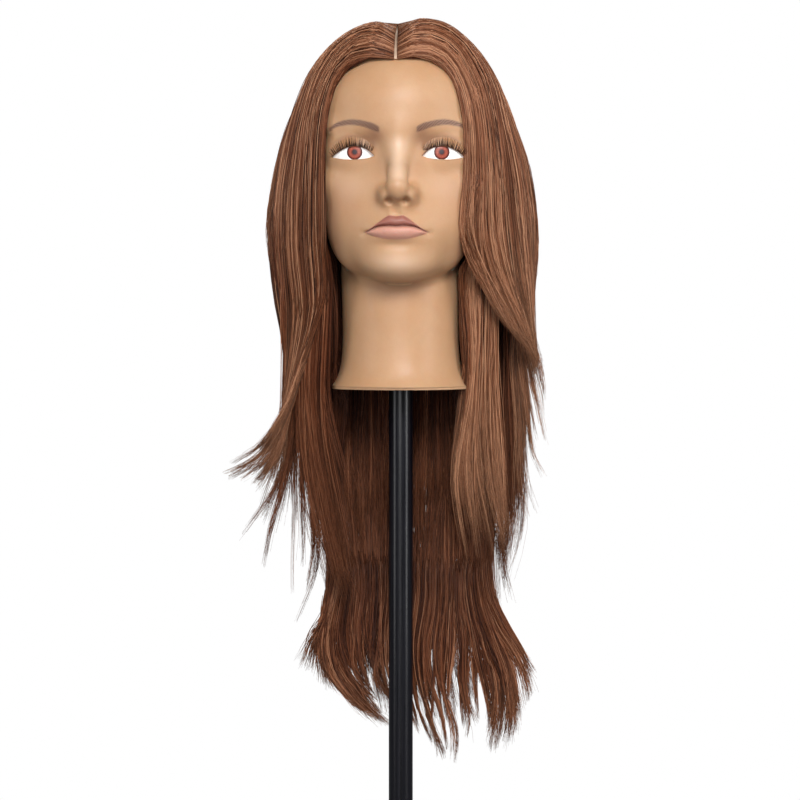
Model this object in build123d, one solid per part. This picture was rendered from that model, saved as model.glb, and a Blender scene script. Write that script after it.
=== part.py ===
"""Mannequin training head on its holder pole, as an assembly of separate pieces.

Frame: millimetres, +Z up along the pole, origin at the middle of the pole's lower end. The
face looks towards -Y, and +X is to the right of somebody who stands facing it.
"""

import math
import os

from build123d import *

os.makedirs("parts", exist_ok=True)

# ---------------------------------------------------------------- holder pole and swivel
POLE_R = 9.5
POLE_WALL = 1.5
SPIGOT_R = 9.0
SPIGOT_LENGTH = 50.0
POLE_BORE_R = POLE_R - POLE_WALL
FOOT_PLUG_LENGTH = 12.0
PLUG_GAP = 0.05
POLE_TOP_Z = 452.0
PLUG_DEPTH = 25.0
PLUG_FLANGE = 2.0
RUNNING_GAP = 0.06
END_GAP = 0.1

# ---------------------------------------------------------------- neck, socket and base
NECK_Z = 380.0
PLATE_THICK = 2.0
SOCKET_BORE_R = 12.55
SOCKET_OUTER_R = 15.0
SOCKET_FLANGE_R = 26.0
SOCKET_FLANGE = 4.0
ADAPTOR_R = 12.45
ADAPTOR_FOOT_Z = NECK_Z + 4.0
ADAPTOR_TOP_Z = 462.0
SOCKET_TOP_Z = 466.0
SOCKET_CAP_THICK = 3.0
O_RING_R = 0.9
O_RING_MAJOR_R = ADAPTOR_R + 0.05 - O_RING_R
O_RING_ZS = (402.0, 442.0)
BASE_SCREW_PITCH_R = 20.5
BASE_SCREW_R = 1.6
BASE_SCREW_HEAD_R = 3.2
BASE_SCREW_LENGTH = 5.5
BASE_SCREW_COUNT = 4

# ---------------------------------------------------------------- swivel screw
SWIVEL_SCREW_R = 2.0
SWIVEL_HEAD_R = 4.0
SWIVEL_HEAD = 2.4
WASHER_R = 5.2
WASHER_THICK = 1.0
COUNTERBORE_R = 5.6
WEB_TOP_Z = 457.9

# ---------------------------------------------------------------- head
VINYL_WALL = 3.0
FOAM_GAP = 0.3
FOAM_SCALE = 0.975
FOAM_CENTRE_Z = NECK_Z + 140.0
FOAM_FOOT_H = 16.0
FOAM_EYE_GAP = 7.0
SCALP_THICK = 1.5
SCALP_GAP = 0.1
HAIR_GAP = 0.6
SECTION_POINTS = 20
CROWN_FULLNESS = 0.86

# Height above the neck's base, half width, front, back and front fullness of each level of the
# head. A fullness below 1 is squarer in front, and above 1 more pointed.
HEAD_LEVELS = (
    (2.0, 54.6, -54.0, 56.0, 1.0),
    (9.0, 50.6, -50.5, 54.0, 1.0),
    (24.0, 47.0, -47.5, 51.5, 1.0),
    (48.0, 46.2, -46.8, 51.0, 1.0),
    (70.0, 46.6, -47.3, 51.2, 1.0),
    (82.0, 46.9, -49.5, 51.5, 1.05),
    (89.0, 47.2, -69.0, 51.8, 1.25),
    (97.0, 48.6, -82.0, 53.0, 1.15),
    (107.0, 51.8, -87.0, 55.0, 1.05),
    (118.0, 55.6, -89.5, 58.0, 1.0),
    (138.0, 59.2, -90.5, 67.0, 0.95),
    (162.0, 64.5, -87.0, 82.0, 0.85),
    (184.0, 70.0, -85.0, 89.5, 0.86),
    (208.0, 71.5, -88.0, 91.5, 0.9),
    (234.0, 67.0, -86.0, 86.5, 0.88),
    (256.0, 54.5, -73.0, 72.0, 0.9),
    (272.0, 37.5, -49.0, 51.0, 1.0),
    (280.0, 22.0, -25.0, 32.0, 1.0),
    (283.5, 8.0, -7.0, 15.0, 1.0),
)

# Height above the neck's base, half width, front reach and back reach of the nose.
NOSE_LEVELS = (
    (143.5, 13.0, -98.0, -80.0),
    (147.0, 15.2, -105.0, -80.0),
    (153.0, 14.5, -110.0, -80.0),
    (158.0, 10.5, -108.0, -80.0),
    (170.0, 7.0, -99.5, -78.0),
    (183.0, 6.0, -91.5, -76.0),
    (193.0, 7.0, -88.5, -76.0),
)

EYE_X = 33.5
EYE_H = 183.8
EYE_HALF_W = 20.0
EYE_HALF_H = 9.0
EYE_FRONT_Y = -77.5
EYE_DOME_R = 26.0
EYE_DOME_X = 30.5
EYE_DEPTH = 15.0
EYE_POCKET_GAP = 0.3
EYE_OPENING_AHEAD = 25.0
IRIS_R = 5.9
IRIS_THICK = 0.8
PUPIL_R = 1.7
LASH_ROOT_Y = -81.0
LASH_RISE = 6.0
LASH_RADIUS = 21.0
LASH_THICK = 1.2
LASH_REACH = 7.0
LASH_HALF_ANGLE = 48.0

# ---------------------------------------------------------------- hair
# Height above the neck's base, left, right, front and back reach of the crown's hair.
CROWN_LEVELS = (
    (150.0, 104.0, 105.0, -84.0, 107.0),
    (179.0, 99.0, 101.0, -88.0, 107.5),
    (206.0, 92.0, 92.5, -91.0, 107.0),
    (227.0, 85.0, 84.0, -91.0, 104.0),
    (253.0, 70.5, 70.0, -86.0, 95.0),
    (270.0, 57.0, 56.5, -71.0, 82.0),
    (283.0, 39.0, 40.0, -45.0, 60.0),
    (290.0, 20.0, 21.0, -16.0, 30.0),
    (292.5, 6.0, 6.0, 0.0, 14.0),
)
HAIRLINE_H = 254.5
HAIR_SPLIT_H = 150.0
HAIR_SPLIT_GAP = 1.0
PART_GAP = 1.2
CROWN_BACK_Y = 36.0
LOCK_ROUND = 0.7


def tube(outer_r, inner_r, low_z, high_z):
    """A round tube, or a disc where inner_r is 0."""
    solid = Pos(0, 0, (low_z + high_z) / 2) * Cylinder(outer_r, high_z - low_z)
    if inner_r:
        solid -= Pos(0, 0, (low_z + high_z) / 2) * Cylinder(inner_r, high_z - low_z + 2)
    return solid


def oval_section(height, left, right, front, back, fullness):
    """A level's oval outline; its front half is squarer or more pointed by its fullness."""
    middle = (front + back) / 2
    reach = (back - front) / 2
    points = []
    for step in range(SECTION_POINTS):
        turn = 2 * math.pi * step / SECTION_POINTS
        across, along = math.cos(turn), math.sin(turn)
        side = right if across > 0 else left
        if along < 0:
            across = math.copysign(abs(across) ** fullness, across)
            along = -abs(along) ** fullness
        points.append((side * across, middle + reach * along))
    outline = Spline(*points, periodic=True)
    return Pos(0, 0, NECK_Z + height) * make_face(outline)


def head_body(grow, low_h=None):
    """The head's form, grown outwards by grow; low_h continues its lowest level further down."""
    sections = []
    if low_h is not None:
        _, half, front, back, fullness = HEAD_LEVELS[0]
        wide = half + grow
        sections.append(oval_section(low_h, wide, wide, front - grow, back + grow, fullness))
    for height, half, front, back, fullness in HEAD_LEVELS:
        rise = grow * max(0.0, (height - 240.0) / 43.5)
        wide = half + grow
        sections.append(oval_section(height + rise, wide, wide, front - grow, back + grow, fullness))
    return loft(sections)


def crown_body():
    return loft([oval_section(*level, CROWN_FULLNESS) for level in CROWN_LEVELS])


def nose_body():
    sections = []
    for height, half, front, back in NOSE_LEVELS:
        outline = Ellipse(half, (back - front) / 2)
        sections.append(Pos(0, (front + back) / 2, NECK_Z + height) * outline)
    return loft(sections)


def eye_dome(side, radius):
    """The ball that shapes the eye's front, set towards the nose so that the eye's outer end lies back."""
    return Pos(side * EYE_DOME_X, EYE_FRONT_Y + EYE_DOME_R, NECK_Z + EYE_H) * Sphere(radius)


def eye_block(side, gap, ahead=0.0):
    """The straight oval block that one eye is cut from, drawn out ahead of its front."""
    oval = extrude(Ellipse(EYE_HALF_W + gap, EYE_HALF_H + gap), EYE_DEPTH + gap + ahead)
    return Pos(side * EYE_X, EYE_FRONT_Y + EYE_DEPTH + gap, NECK_Z + EYE_H) * Rot(90, 0, 0) * oval


def eye_form(side, gap):
    """The oval domed insert of one eye, or its pocket where gap is more than 0."""
    return eye_block(side, gap) & eye_dome(side, EYE_DOME_R + gap)


def iris_form(side, gap):
    """The iris disc, sunk in the front of the eye."""
    cup = eye_dome(side, EYE_DOME_R) - eye_dome(side, EYE_DOME_R - IRIS_THICK - gap)
    along = Pos(side * EYE_X, EYE_FRONT_Y, NECK_Z + EYE_H) * Rot(90, 0, 0)
    return cup & along * Cylinder(IRIS_R + gap, 8.0)


def eyelash(side):
    """A curved strip that stands out from the edge of the upper lid."""
    half = math.radians(LASH_HALF_ANGLE)
    outer, inner = LASH_RADIUS, LASH_RADIUS - LASH_THICK

    def at(radius, angle):
        return (radius * math.sin(angle), radius * math.cos(angle))

    outer_arc = ThreePointArc(at(outer, -half), at(outer, 0), at(outer, half))
    inner_arc = ThreePointArc(at(inner, half), at(inner, 0), at(inner, -half))
    ends = [Line(at(outer, half), at(inner, half)), Line(at(inner, -half), at(outer, -half))]
    band = make_face([outer_arc, ends[0], inner_arc, ends[1]])
    place = Pos(side * EYE_X, LASH_ROOT_Y, NECK_Z + EYE_H + LASH_RISE - LASH_RADIUS) * Rot(90, 0, 0)
    return place * extrude(band, LASH_REACH)


def behind_hairline(margin):
    """The space that hair covers on the skull: above the brow's hairline and behind the temples."""
    outline = Polyline(
        (-130, HAIRLINE_H + margin),
        (-66, HAIRLINE_H + margin),
        (-56 + margin, 232),
        (-47 + margin, 204),
        (-47 + margin, 150),
        (-10, 122),
        (24, 98),
        (130, 98),
        (130, 320),
        (-130, 320),
        close=True,
    )
    side_view = Plane.YZ * make_face(outline)
    return Pos(-150, 0, NECK_Z) * extrude(side_view, 300)


def lock(*stations):
    """A lock of hair: a loft of rounded oblongs, each (height, x, y, half across, half deep, turn)."""
    sections = []
    for height, x, y, across, deep, turn in stations:
        outline = RectangleRounded(2 * across, 2 * deep, LOCK_ROUND * min(across, deep))
        sections.append(Pos(x, y, NECK_Z + height) * Rot(0, 0, turn) * outline)
    return loft(sections)


def flick(start, end, start_r, end_r, bend):
    """A thin lock that leaves the mass sideways: a cone of two runs through a raised middle."""
    (x0, y0, h0), (x1, y1, h1) = start, end
    first = Vector(x0, y0, NECK_Z + h0)
    last = Vector(x1, y1, NECK_Z + h1)
    middle = (first + last) * 0.5 + Vector(0, 0, bend)
    sections = []
    for point, along, radius in (
        (first, middle - first, start_r),
        (middle, last - first, (start_r + end_r) / 2),
        (last, last - middle, end_r),
    ):
        sections.append(Plane(point, z_dir=along) * Circle(radius))
    return loft(sections)


# ---------------------------------------------------------------- the holder's pieces
def make_pole():
    """The tube, with its lower end reduced to a spigot for a clamp or a stand."""
    spigot = tube(SPIGOT_R, POLE_BORE_R, 0, SPIGOT_LENGTH)
    return tube(POLE_R, POLE_BORE_R, SPIGOT_LENGTH, POLE_TOP_Z) + spigot


def make_pole_foot_plug():
    return tube(POLE_BORE_R - PLUG_GAP, 0, 0, FOOT_PLUG_LENGTH)


def make_pole_top_plug():
    body = tube(POLE_BORE_R - PLUG_GAP, 0, POLE_TOP_Z - PLUG_DEPTH, POLE_TOP_Z)
    flange = tube(POLE_R, 0, POLE_TOP_Z, POLE_TOP_Z + PLUG_FLANGE)
    screw_hole = tube(SWIVEL_SCREW_R, 0, POLE_TOP_Z - PLUG_DEPTH + 4, POLE_TOP_Z + PLUG_FLANGE + 1)
    return body + flange - screw_hole


def make_swivel_adaptor():
    """The sleeve that turns on the pole's top end and fills the head's socket."""
    outside = tube(ADAPTOR_R, 0, ADAPTOR_FOOT_Z, ADAPTOR_TOP_Z)
    outside = chamfer(outside.edges().group_by(Axis.Z)[-1], 1.0)
    bore_top = POLE_TOP_Z + PLUG_FLANGE + END_GAP
    outside -= tube(POLE_R + RUNNING_GAP, 0, ADAPTOR_FOOT_Z - 1, bore_top)
    outside -= tube(SWIVEL_SCREW_R + 0.3, 0, bore_top - 1, WEB_TOP_Z + 1)
    outside -= tube(COUNTERBORE_R, 0, WEB_TOP_Z, ADAPTOR_TOP_Z + 1)
    groove_depth_r = O_RING_MAJOR_R - O_RING_R - 0.05
    for height in O_RING_ZS:
        outside -= tube(ADAPTOR_R + 1, groove_depth_r, height - 1.1, height + 1.1)
    return outside


def make_adaptor_o_rings():
    return [Pos(0, 0, height) * Torus(O_RING_MAJOR_R, O_RING_R) for height in O_RING_ZS]


def make_swivel_washer():
    return tube(WASHER_R, SWIVEL_SCREW_R + 0.1, WEB_TOP_Z + END_GAP, WEB_TOP_Z + END_GAP + WASHER_THICK)


def make_swivel_screw():
    head_z = WEB_TOP_Z + END_GAP + WASHER_THICK
    shank = tube(SWIVEL_SCREW_R - 0.02, 0, POLE_TOP_Z - PLUG_DEPTH + 6, head_z)
    head = tube(SWIVEL_HEAD_R, 0, head_z, head_z + SWIVEL_HEAD)
    head = fillet(head.edges().group_by(Axis.Z)[-1], 0.8)
    hexagon = extrude(Pos(0, 0, head_z + SWIVEL_HEAD - 1.2) * RegularPolygon(1.5, 6), 2)
    return shank + head - hexagon


# ---------------------------------------------------------------- the neck's socket and base
def base_screw_places():
    for index in range(BASE_SCREW_COUNT):
        turn = math.radians(45 + 360 * index / BASE_SCREW_COUNT)
        yield BASE_SCREW_PITCH_R * math.cos(turn), BASE_SCREW_PITCH_R * math.sin(turn)


def make_socket_tube():
    flange_z = NECK_Z + PLATE_THICK
    body = tube(SOCKET_OUTER_R, 0, NECK_Z, SOCKET_TOP_Z)
    body += tube(SOCKET_FLANGE_R, 0, flange_z, flange_z + SOCKET_FLANGE)
    body -= tube(SOCKET_BORE_R, 0, NECK_Z - 1, SOCKET_TOP_Z + 1)
    for x, y in base_screw_places():
        body -= Pos(x, y, flange_z + SOCKET_FLANGE / 2) * Cylinder(BASE_SCREW_R, SOCKET_FLANGE + 1)
    mouth = body.edges().filter_by(GeomType.CIRCLE).group_by(Axis.Z)[0]
    return chamfer(mouth.sort_by(SortBy.RADIUS)[0], 1.0)


def make_socket_cap():
    lid = tube(SOCKET_OUTER_R, 0, SOCKET_TOP_Z, SOCKET_TOP_Z + SOCKET_CAP_THICK)
    return lid + tube(SOCKET_BORE_R - PLUG_GAP, 0, ADAPTOR_TOP_Z + END_GAP, SOCKET_TOP_Z)


def make_neck_base_plate():
    _, half, front, back, fullness = HEAD_LEVELS[0]
    outline = oval_section(0, half, half, front, back, fullness)
    plate = extrude(outline, PLATE_THICK)
    plate = chamfer(plate.edges().group_by(Axis.Z)[0], 0.5)
    plate -= tube(SOCKET_OUTER_R + PLUG_GAP, 0, NECK_Z - 1, NECK_Z + PLATE_THICK + 1)
    for x, y in base_screw_places():
        plate -= Pos(x, y, NECK_Z + PLATE_THICK / 2) * Cylinder(BASE_SCREW_R + 0.2, PLATE_THICK + 1)
        plate -= Pos(x, y, NECK_Z + 0.5) * Cylinder(BASE_SCREW_HEAD_R + 0.2, 1.0)
    return plate


def make_base_screws():
    screws = []
    for x, y in base_screw_places():
        head = Pos(x, y, NECK_Z + 0.5) * Cylinder(BASE_SCREW_HEAD_R, 0.9)
        shank_low = NECK_Z + 0.5
        shank = Pos(x, y, shank_low + BASE_SCREW_LENGTH / 2) * Cylinder(BASE_SCREW_R - 0.02, BASE_SCREW_LENGTH)
        cross = Pos(x, y, NECK_Z) * (Box(3.4, 0.7, 0.8) + Box(0.7, 3.4, 0.8))
        screws.append(head + shank - cross)
    return screws


# ---------------------------------------------------------------- the head's pieces
def make_head_shell(outer, inner):
    """The vinyl skin: the head's form with its nose, hollow, and open where the eyes sit."""
    shell = outer + nose_body() - inner
    for side in (-1, 1):
        shell -= eye_block(side, EYE_POCKET_GAP, ahead=EYE_OPENING_AHEAD)
    return shell


def make_foam_core(inner):
    """The foam that fills the shell above the neck's flare: its hollow, drawn in all round."""
    shift = FOAM_CENTRE_Z * (1 - FOAM_SCALE)
    core = Pos(0, 0, shift) * scale(inner, by=FOAM_SCALE)
    core = core & Pos(0, 0, NECK_Z + FOAM_FOOT_H + 150) * Box(300, 300, 300)
    core -= tube(SOCKET_OUTER_R + FOAM_GAP, 0, NECK_Z, SOCKET_TOP_Z + SOCKET_CAP_THICK + FOAM_GAP)
    for side in (-1, 1):
        core -= eye_block(side, FOAM_EYE_GAP, ahead=EYE_OPENING_AHEAD)
    return core


def make_scalp_cap():
    layer = head_body(SCALP_GAP + SCALP_THICK) - head_body(SCALP_GAP)
    return layer & behind_hairline(1.0)


def make_eyes():
    eyes = {}
    for name, side in (("left", -1), ("right", 1)):
        pupil = Pos(side * EYE_X, EYE_FRONT_Y, NECK_Z + EYE_H) * Rot(90, 0, 0) * Cylinder(PUPIL_R, 8)
        disc = iris_form(side, 0)
        eyes["eye_" + name] = eye_form(side, 0) - iris_form(side, 0.05)
        eyes["iris_" + name] = disc - pupil
        eyes["pupil_" + name] = disc & pupil
        eyes["eyelash_" + name] = eyelash(side)
    return eyes


# ---------------------------------------------------------------- the hair's pieces
def make_crown_hair(outer_scalp):
    cover = crown_body() - outer_scalp
    cover = cover & behind_hairline(0)
    cover = cover & Pos(0, 0, NECK_Z + HAIR_SPLIT_H + 100) * Box(400, 400, 200)
    half = 200.0
    back = Pos(0, CROWN_BACK_Y + half / 2, NECK_Z + half) * Box(2 * half, half, 2 * half)
    crown = {"hair_crown_back": cover & back}
    front_end = CROWN_BACK_Y - HAIR_SPLIT_GAP
    for name, side in (("left", -1), ("right", 1)):
        middle = Pos(side * (half + PART_GAP) / 2, front_end - half / 2, NECK_Z + half)
        crown["hair_crown_" + name] = cover & middle * Box(half, half, 2 * half)
    return crown


def make_side_hair():
    """The long layers that fall beside the neck, with the ends that turn outwards."""
    top = HAIR_SPLIT_H - HAIR_SPLIT_GAP
    front_left = lock(
        (top, -88, -22, 15, 23, -6),
        (112, -84, -22, 19, 24, 0),
        (85, -79, -22, 23, 24, 0),
        (50, -75, -21, 22, 24, 0),
        (12, -77, -18, 19, 22, 0),
        (-20, -82, -12, 17, 19, 0),
        (-67, -86, -6, 9, 11, 0),
    )
    side_left = lock(
        (top, -88, 26, 15, 22, 6),
        (100, -85, 27, 18, 21, 0),
        (50, -78, 28, 20, 21, 0),
        (0, -79, 30, 19, 20, 0),
        (-60, -77, 34, 18, 18, 0),
        (-120, -68, 36, 14, 15, 0),
        (-165, -62, 38, 7, 8, 0),
    )
    front_right = lock(
        (top, 88, -22, 15, 23, 6),
        (116, 85, -24, 20, 23, 0),
        (94, 87, -26, 19, 22, 0),
        (70, 92, -28, 14, 19, 0),
        (51, 98, -28, 10, 15, 0),
        (30, 107, -27, 9, 12, 0),
        (14, 114, -26, 5, 7, 0),
    )
    side_right = lock(
        (top, 89, 26, 15, 22, -6),
        (100, 86, 27, 18, 21, 0),
        (50, 77, 30, 19, 20, 0),
        (0, 76, 31, 18, 19, 0),
        (-60, 75, 34, 16, 17, 0),
        (-120, 76, 38, 12, 13, 0),
        (-150, 79, 40, 6, 7, 0),
    )
    panel_right = lock(
        (64, 63, -12, 9, 12, 0),
        (40, 68, -13, 14, 16, 0),
        (0, 75, -10, 16, 17, 0),
        (-50, 76, -6, 13, 14, 0),
        (-100, 79, 0, 8, 9, 0),
        (-143, 81, 6, 4, 4, 0),
    )
    layer_right = lock(
        (44, 106, 10, 7, 12, 0),
        (10, 109, 8, 9, 14, 0),
        (-28, 104, 6, 7, 12, 0),
        (-58, 109, 4, 6, 8, 0),
        (-82, 120, 0, 2, 3, 0),
    )
    return {
        "hair_front_left": front_left + flick((-90, -8, 4), (-143, -10, -66), 11.0, 1.5, 5),
        "hair_side_left": side_left
        + flick((-84, 28, -64), (-132, 22, -139), 9.0, 1.4, -2)
        + flick((-72, 36, -108), (-103, 38, -166), 7.0, 1.4, -3),
        "hair_front_right": front_right,
        "hair_side_right": side_right,
        "hair_panel_right": panel_right,
        "hair_layer_right": layer_right,
    }


def make_back_hair():
    """The three panels that hang from the back of the head."""
    top = HAIR_SPLIT_H - HAIR_SPLIT_GAP
    panels = {}
    for name, side in (("left", -1), ("right", 1)):
        panels["hair_back_" + name] = lock(
            (top, side * 51, 78, 23, 13, side * -28),
            (100, side * 50, 74, 23, 15, side * -26),
            (50, side * 48, 72, 23, 16, side * -20),
            (0, side * 47.5, 70, 22, 16, side * -14),
            (-60, side * 47, 69, 22, 15, side * -10),
            (-120, side * 46, 66, 21, 13, side * -6),
            (-160, side * 45, 63, 20, 11, 0),
        )
    panels["hair_back_middle"] = lock(
        (top, 0, 92, 24, 11, 0),
        (100, 0, 89, 24, 14, 0),
        (50, 0, 84, 24, 16, 0),
        (0, 0, 80, 24, 16, 0),
        (-60, 0, 76, 24, 15, 0),
        (-120, 0, 70, 24, 13, 0),
        (-160, 0, 66, 24, 11, 0),
    )
    return panels


def make_hair_tips():
    """The thin tapered ends of the longest layer, side by side."""
    starts = (-57, -34, -11, 12, 36, 60)
    ends = ((-74, -238), (-40, -272), (-10, -279), (30, -303), (54, -306), (90, -252))
    tips = {}
    for index, (start_x, (end_x, end_h)) in enumerate(zip(starts, ends), start=1):
        middle_x = start_x + 0.35 * (end_x - start_x)
        tips[f"hair_tips_{index}"] = lock(
            (-161.5, start_x, 63, 11.2, 11, 0),
            ((end_h - 161.5) / 2, middle_x, 60, 9.5, 9, 0),
            (end_h, end_x, 58, 1.8, 1.8, 0),
        )
    tips["hair_tips_1"] += flick((-62, 62, -170), (-102, 56, -207), 7.0, 1.4, -3)
    tips["hair_tips_6"] += flick((66, 62, -170), (118, 54, -211), 7.0, 1.4, -4)
    tips["hair_tips_6"] += flick((74, 60, -196), (118, 56, -236), 6.0, 1.4, -4)
    return tips


def main():
    outer = head_body(0)
    inner = head_body(-VINYL_WALL, low_h=-4)
    pieces = {
        "pole": make_pole(),
        "pole_foot_plug": make_pole_foot_plug(),
        "pole_top_plug": make_pole_top_plug(),
        "swivel_adaptor": make_swivel_adaptor(),
        "adaptor_o_rings": make_adaptor_o_rings(),
        "swivel_washer": make_swivel_washer(),
        "swivel_screw": make_swivel_screw(),
        "socket_tube": make_socket_tube(),
        "socket_cap": make_socket_cap(),
        "neck_base_plate": make_neck_base_plate(),
        "base_screws": make_base_screws(),
        "head_shell": make_head_shell(outer, inner),
        "foam_core": make_foam_core(inner),
        "scalp_cap": make_scalp_cap(),
    }
    pieces.update(make_eyes())
    pieces.update(make_crown_hair(head_body(SCALP_GAP + SCALP_THICK + HAIR_GAP)))
    pieces.update(make_side_hair())
    pieces.update(make_back_hair())
    pieces.update(make_hair_tips())
    for name, piece in pieces.items():
        solids = piece if isinstance(piece, list) else list(piece.solids())
        export_step(solids[0] if len(solids) == 1 else Compound(children=solids), f"parts/{name}.step")


main()
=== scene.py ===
"""Looks of a mannequin training head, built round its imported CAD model.

Lengths are written in millimetres and heights are measured from the neck's base, as in the CAD; place()
turns them into metres in the row frame. The face looks towards -Y.
"""

import math

import bpy
import numpy as np
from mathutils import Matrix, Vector


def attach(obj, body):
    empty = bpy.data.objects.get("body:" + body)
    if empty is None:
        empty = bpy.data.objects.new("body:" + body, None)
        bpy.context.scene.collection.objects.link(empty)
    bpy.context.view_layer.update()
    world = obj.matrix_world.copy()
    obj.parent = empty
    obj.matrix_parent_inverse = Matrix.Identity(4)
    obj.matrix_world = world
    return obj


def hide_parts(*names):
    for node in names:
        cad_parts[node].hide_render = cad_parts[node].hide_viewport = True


NECK_Z = 380.0
MM = 0.001
EYE_X = 30.5
EYE_Y = -51.5
EYE_H = 183.8
EYE_DOME_R = 26.0
LID_R = 27.9
IRIS_X = 33.5
EYE_INNER = 18.3
EYE_OUTER = 51.0
MOUTH_SHIFT = 1.2
EYE_BAND_LOW = 172
EYE_BAND_HIGH = 198
EYE_SET_BACK = 1.6
FACE_FRONT_Y = -30
SPHERE_H = 214.0
TRACE_FROM = 135.0
TRACE_STEPS = 70
TRACE_SHARE = 0.62
SKIN_WALL = 6.0
INNER_STRIDE = 6
LASH_TUFTS = 36
LASHES_EACH = 5
LASH_AHEAD = 1.6
TINTS = 64
SIDES = 3
FINE = 120
STRAND_WIDTH = 0.5
BANDS_PER_GUIDE = 22

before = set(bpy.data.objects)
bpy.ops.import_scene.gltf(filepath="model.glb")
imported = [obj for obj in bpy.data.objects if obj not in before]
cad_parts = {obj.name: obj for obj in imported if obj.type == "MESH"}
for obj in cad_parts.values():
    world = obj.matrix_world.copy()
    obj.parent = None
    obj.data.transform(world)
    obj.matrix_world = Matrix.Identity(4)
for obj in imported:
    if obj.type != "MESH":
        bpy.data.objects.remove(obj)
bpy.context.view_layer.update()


# ------------------------------------------------------------------ small helpers
def place(points):
    """Millimetres with height above the neck's base, to metres in the row frame."""
    out = np.array(points, float)
    out[..., 2] += NECK_Z
    return out * MM


def ease(low, high, value):
    t = np.clip((value - low) / (high - low), 0, 1)
    return t * t * (3 - 2 * t)


def bell(value, centre, width):
    return np.exp(-(((value - centre) / width) ** 2))


def curve_through(xs, ys, at):
    """A smooth line through (xs, ys), read at each value of at."""
    xs, ys = np.array(xs, float), np.array(ys, float)
    slopes = np.gradient(ys, xs)
    at = np.clip(at, xs[0], xs[-1])
    i = np.clip(np.searchsorted(xs, at) - 1, 0, len(xs) - 2)
    span = xs[i + 1] - xs[i]
    t = (at - xs[i]) / span
    a, b = ys[i], ys[i + 1]
    m, n = slopes[i] * span, slopes[i + 1] * span
    return (
        (2 * t**3 - 3 * t**2 + 1) * a
        + (t**3 - 2 * t**2 + t) * m
        + (3 * t**2 - 2 * t**3) * b
        + (t**3 - t**2) * n
    )


def new_mesh(name, verts, quads, tris=None, smooth=True):
    """A mesh object from arrays of vertices, quads and triangles."""
    tris = np.zeros((0, 3), int) if tris is None else np.array(tris, int).reshape(-1, 3)
    quads = np.array(quads, int).reshape(-1, 4)
    mesh = bpy.data.meshes.new(name)
    mesh.vertices.add(len(verts))
    mesh.vertices.foreach_set("co", np.asarray(verts, np.float32).ravel())
    loops = np.concatenate([quads.ravel(), tris.ravel()]).astype(np.int32)
    mesh.loops.add(len(loops))
    mesh.loops.foreach_set("vertex_index", loops)
    totals = np.concatenate([np.full(len(quads), 4), np.full(len(tris), 3)]).astype(np.int32)
    starts = np.concatenate([[0], np.cumsum(totals)[:-1]]).astype(np.int32)
    mesh.polygons.add(len(totals))
    mesh.polygons.foreach_set("loop_start", starts)
    mesh.polygons.foreach_set("loop_total", totals)
    mesh.polygons.foreach_set("use_smooth", np.full(len(totals), smooth))
    mesh.update(calc_edges=True)
    mesh.validate()
    obj = bpy.data.objects.new(name, mesh)
    bpy.context.scene.collection.objects.link(obj)
    return obj


def paint(obj, name, values):
    layer = obj.data.attributes.new(name, "FLOAT", "POINT")
    layer.data.foreach_set("value", np.asarray(values, np.float32).ravel())


# ------------------------------------------------------------------ materials
def srgb(r, g, b):
    def line(c):
        c /= 255
        return c / 12.92 if c <= 0.04045 else ((c + 0.055) / 1.055) ** 2.4

    return (line(r), line(g), line(b), 1.0)


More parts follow.
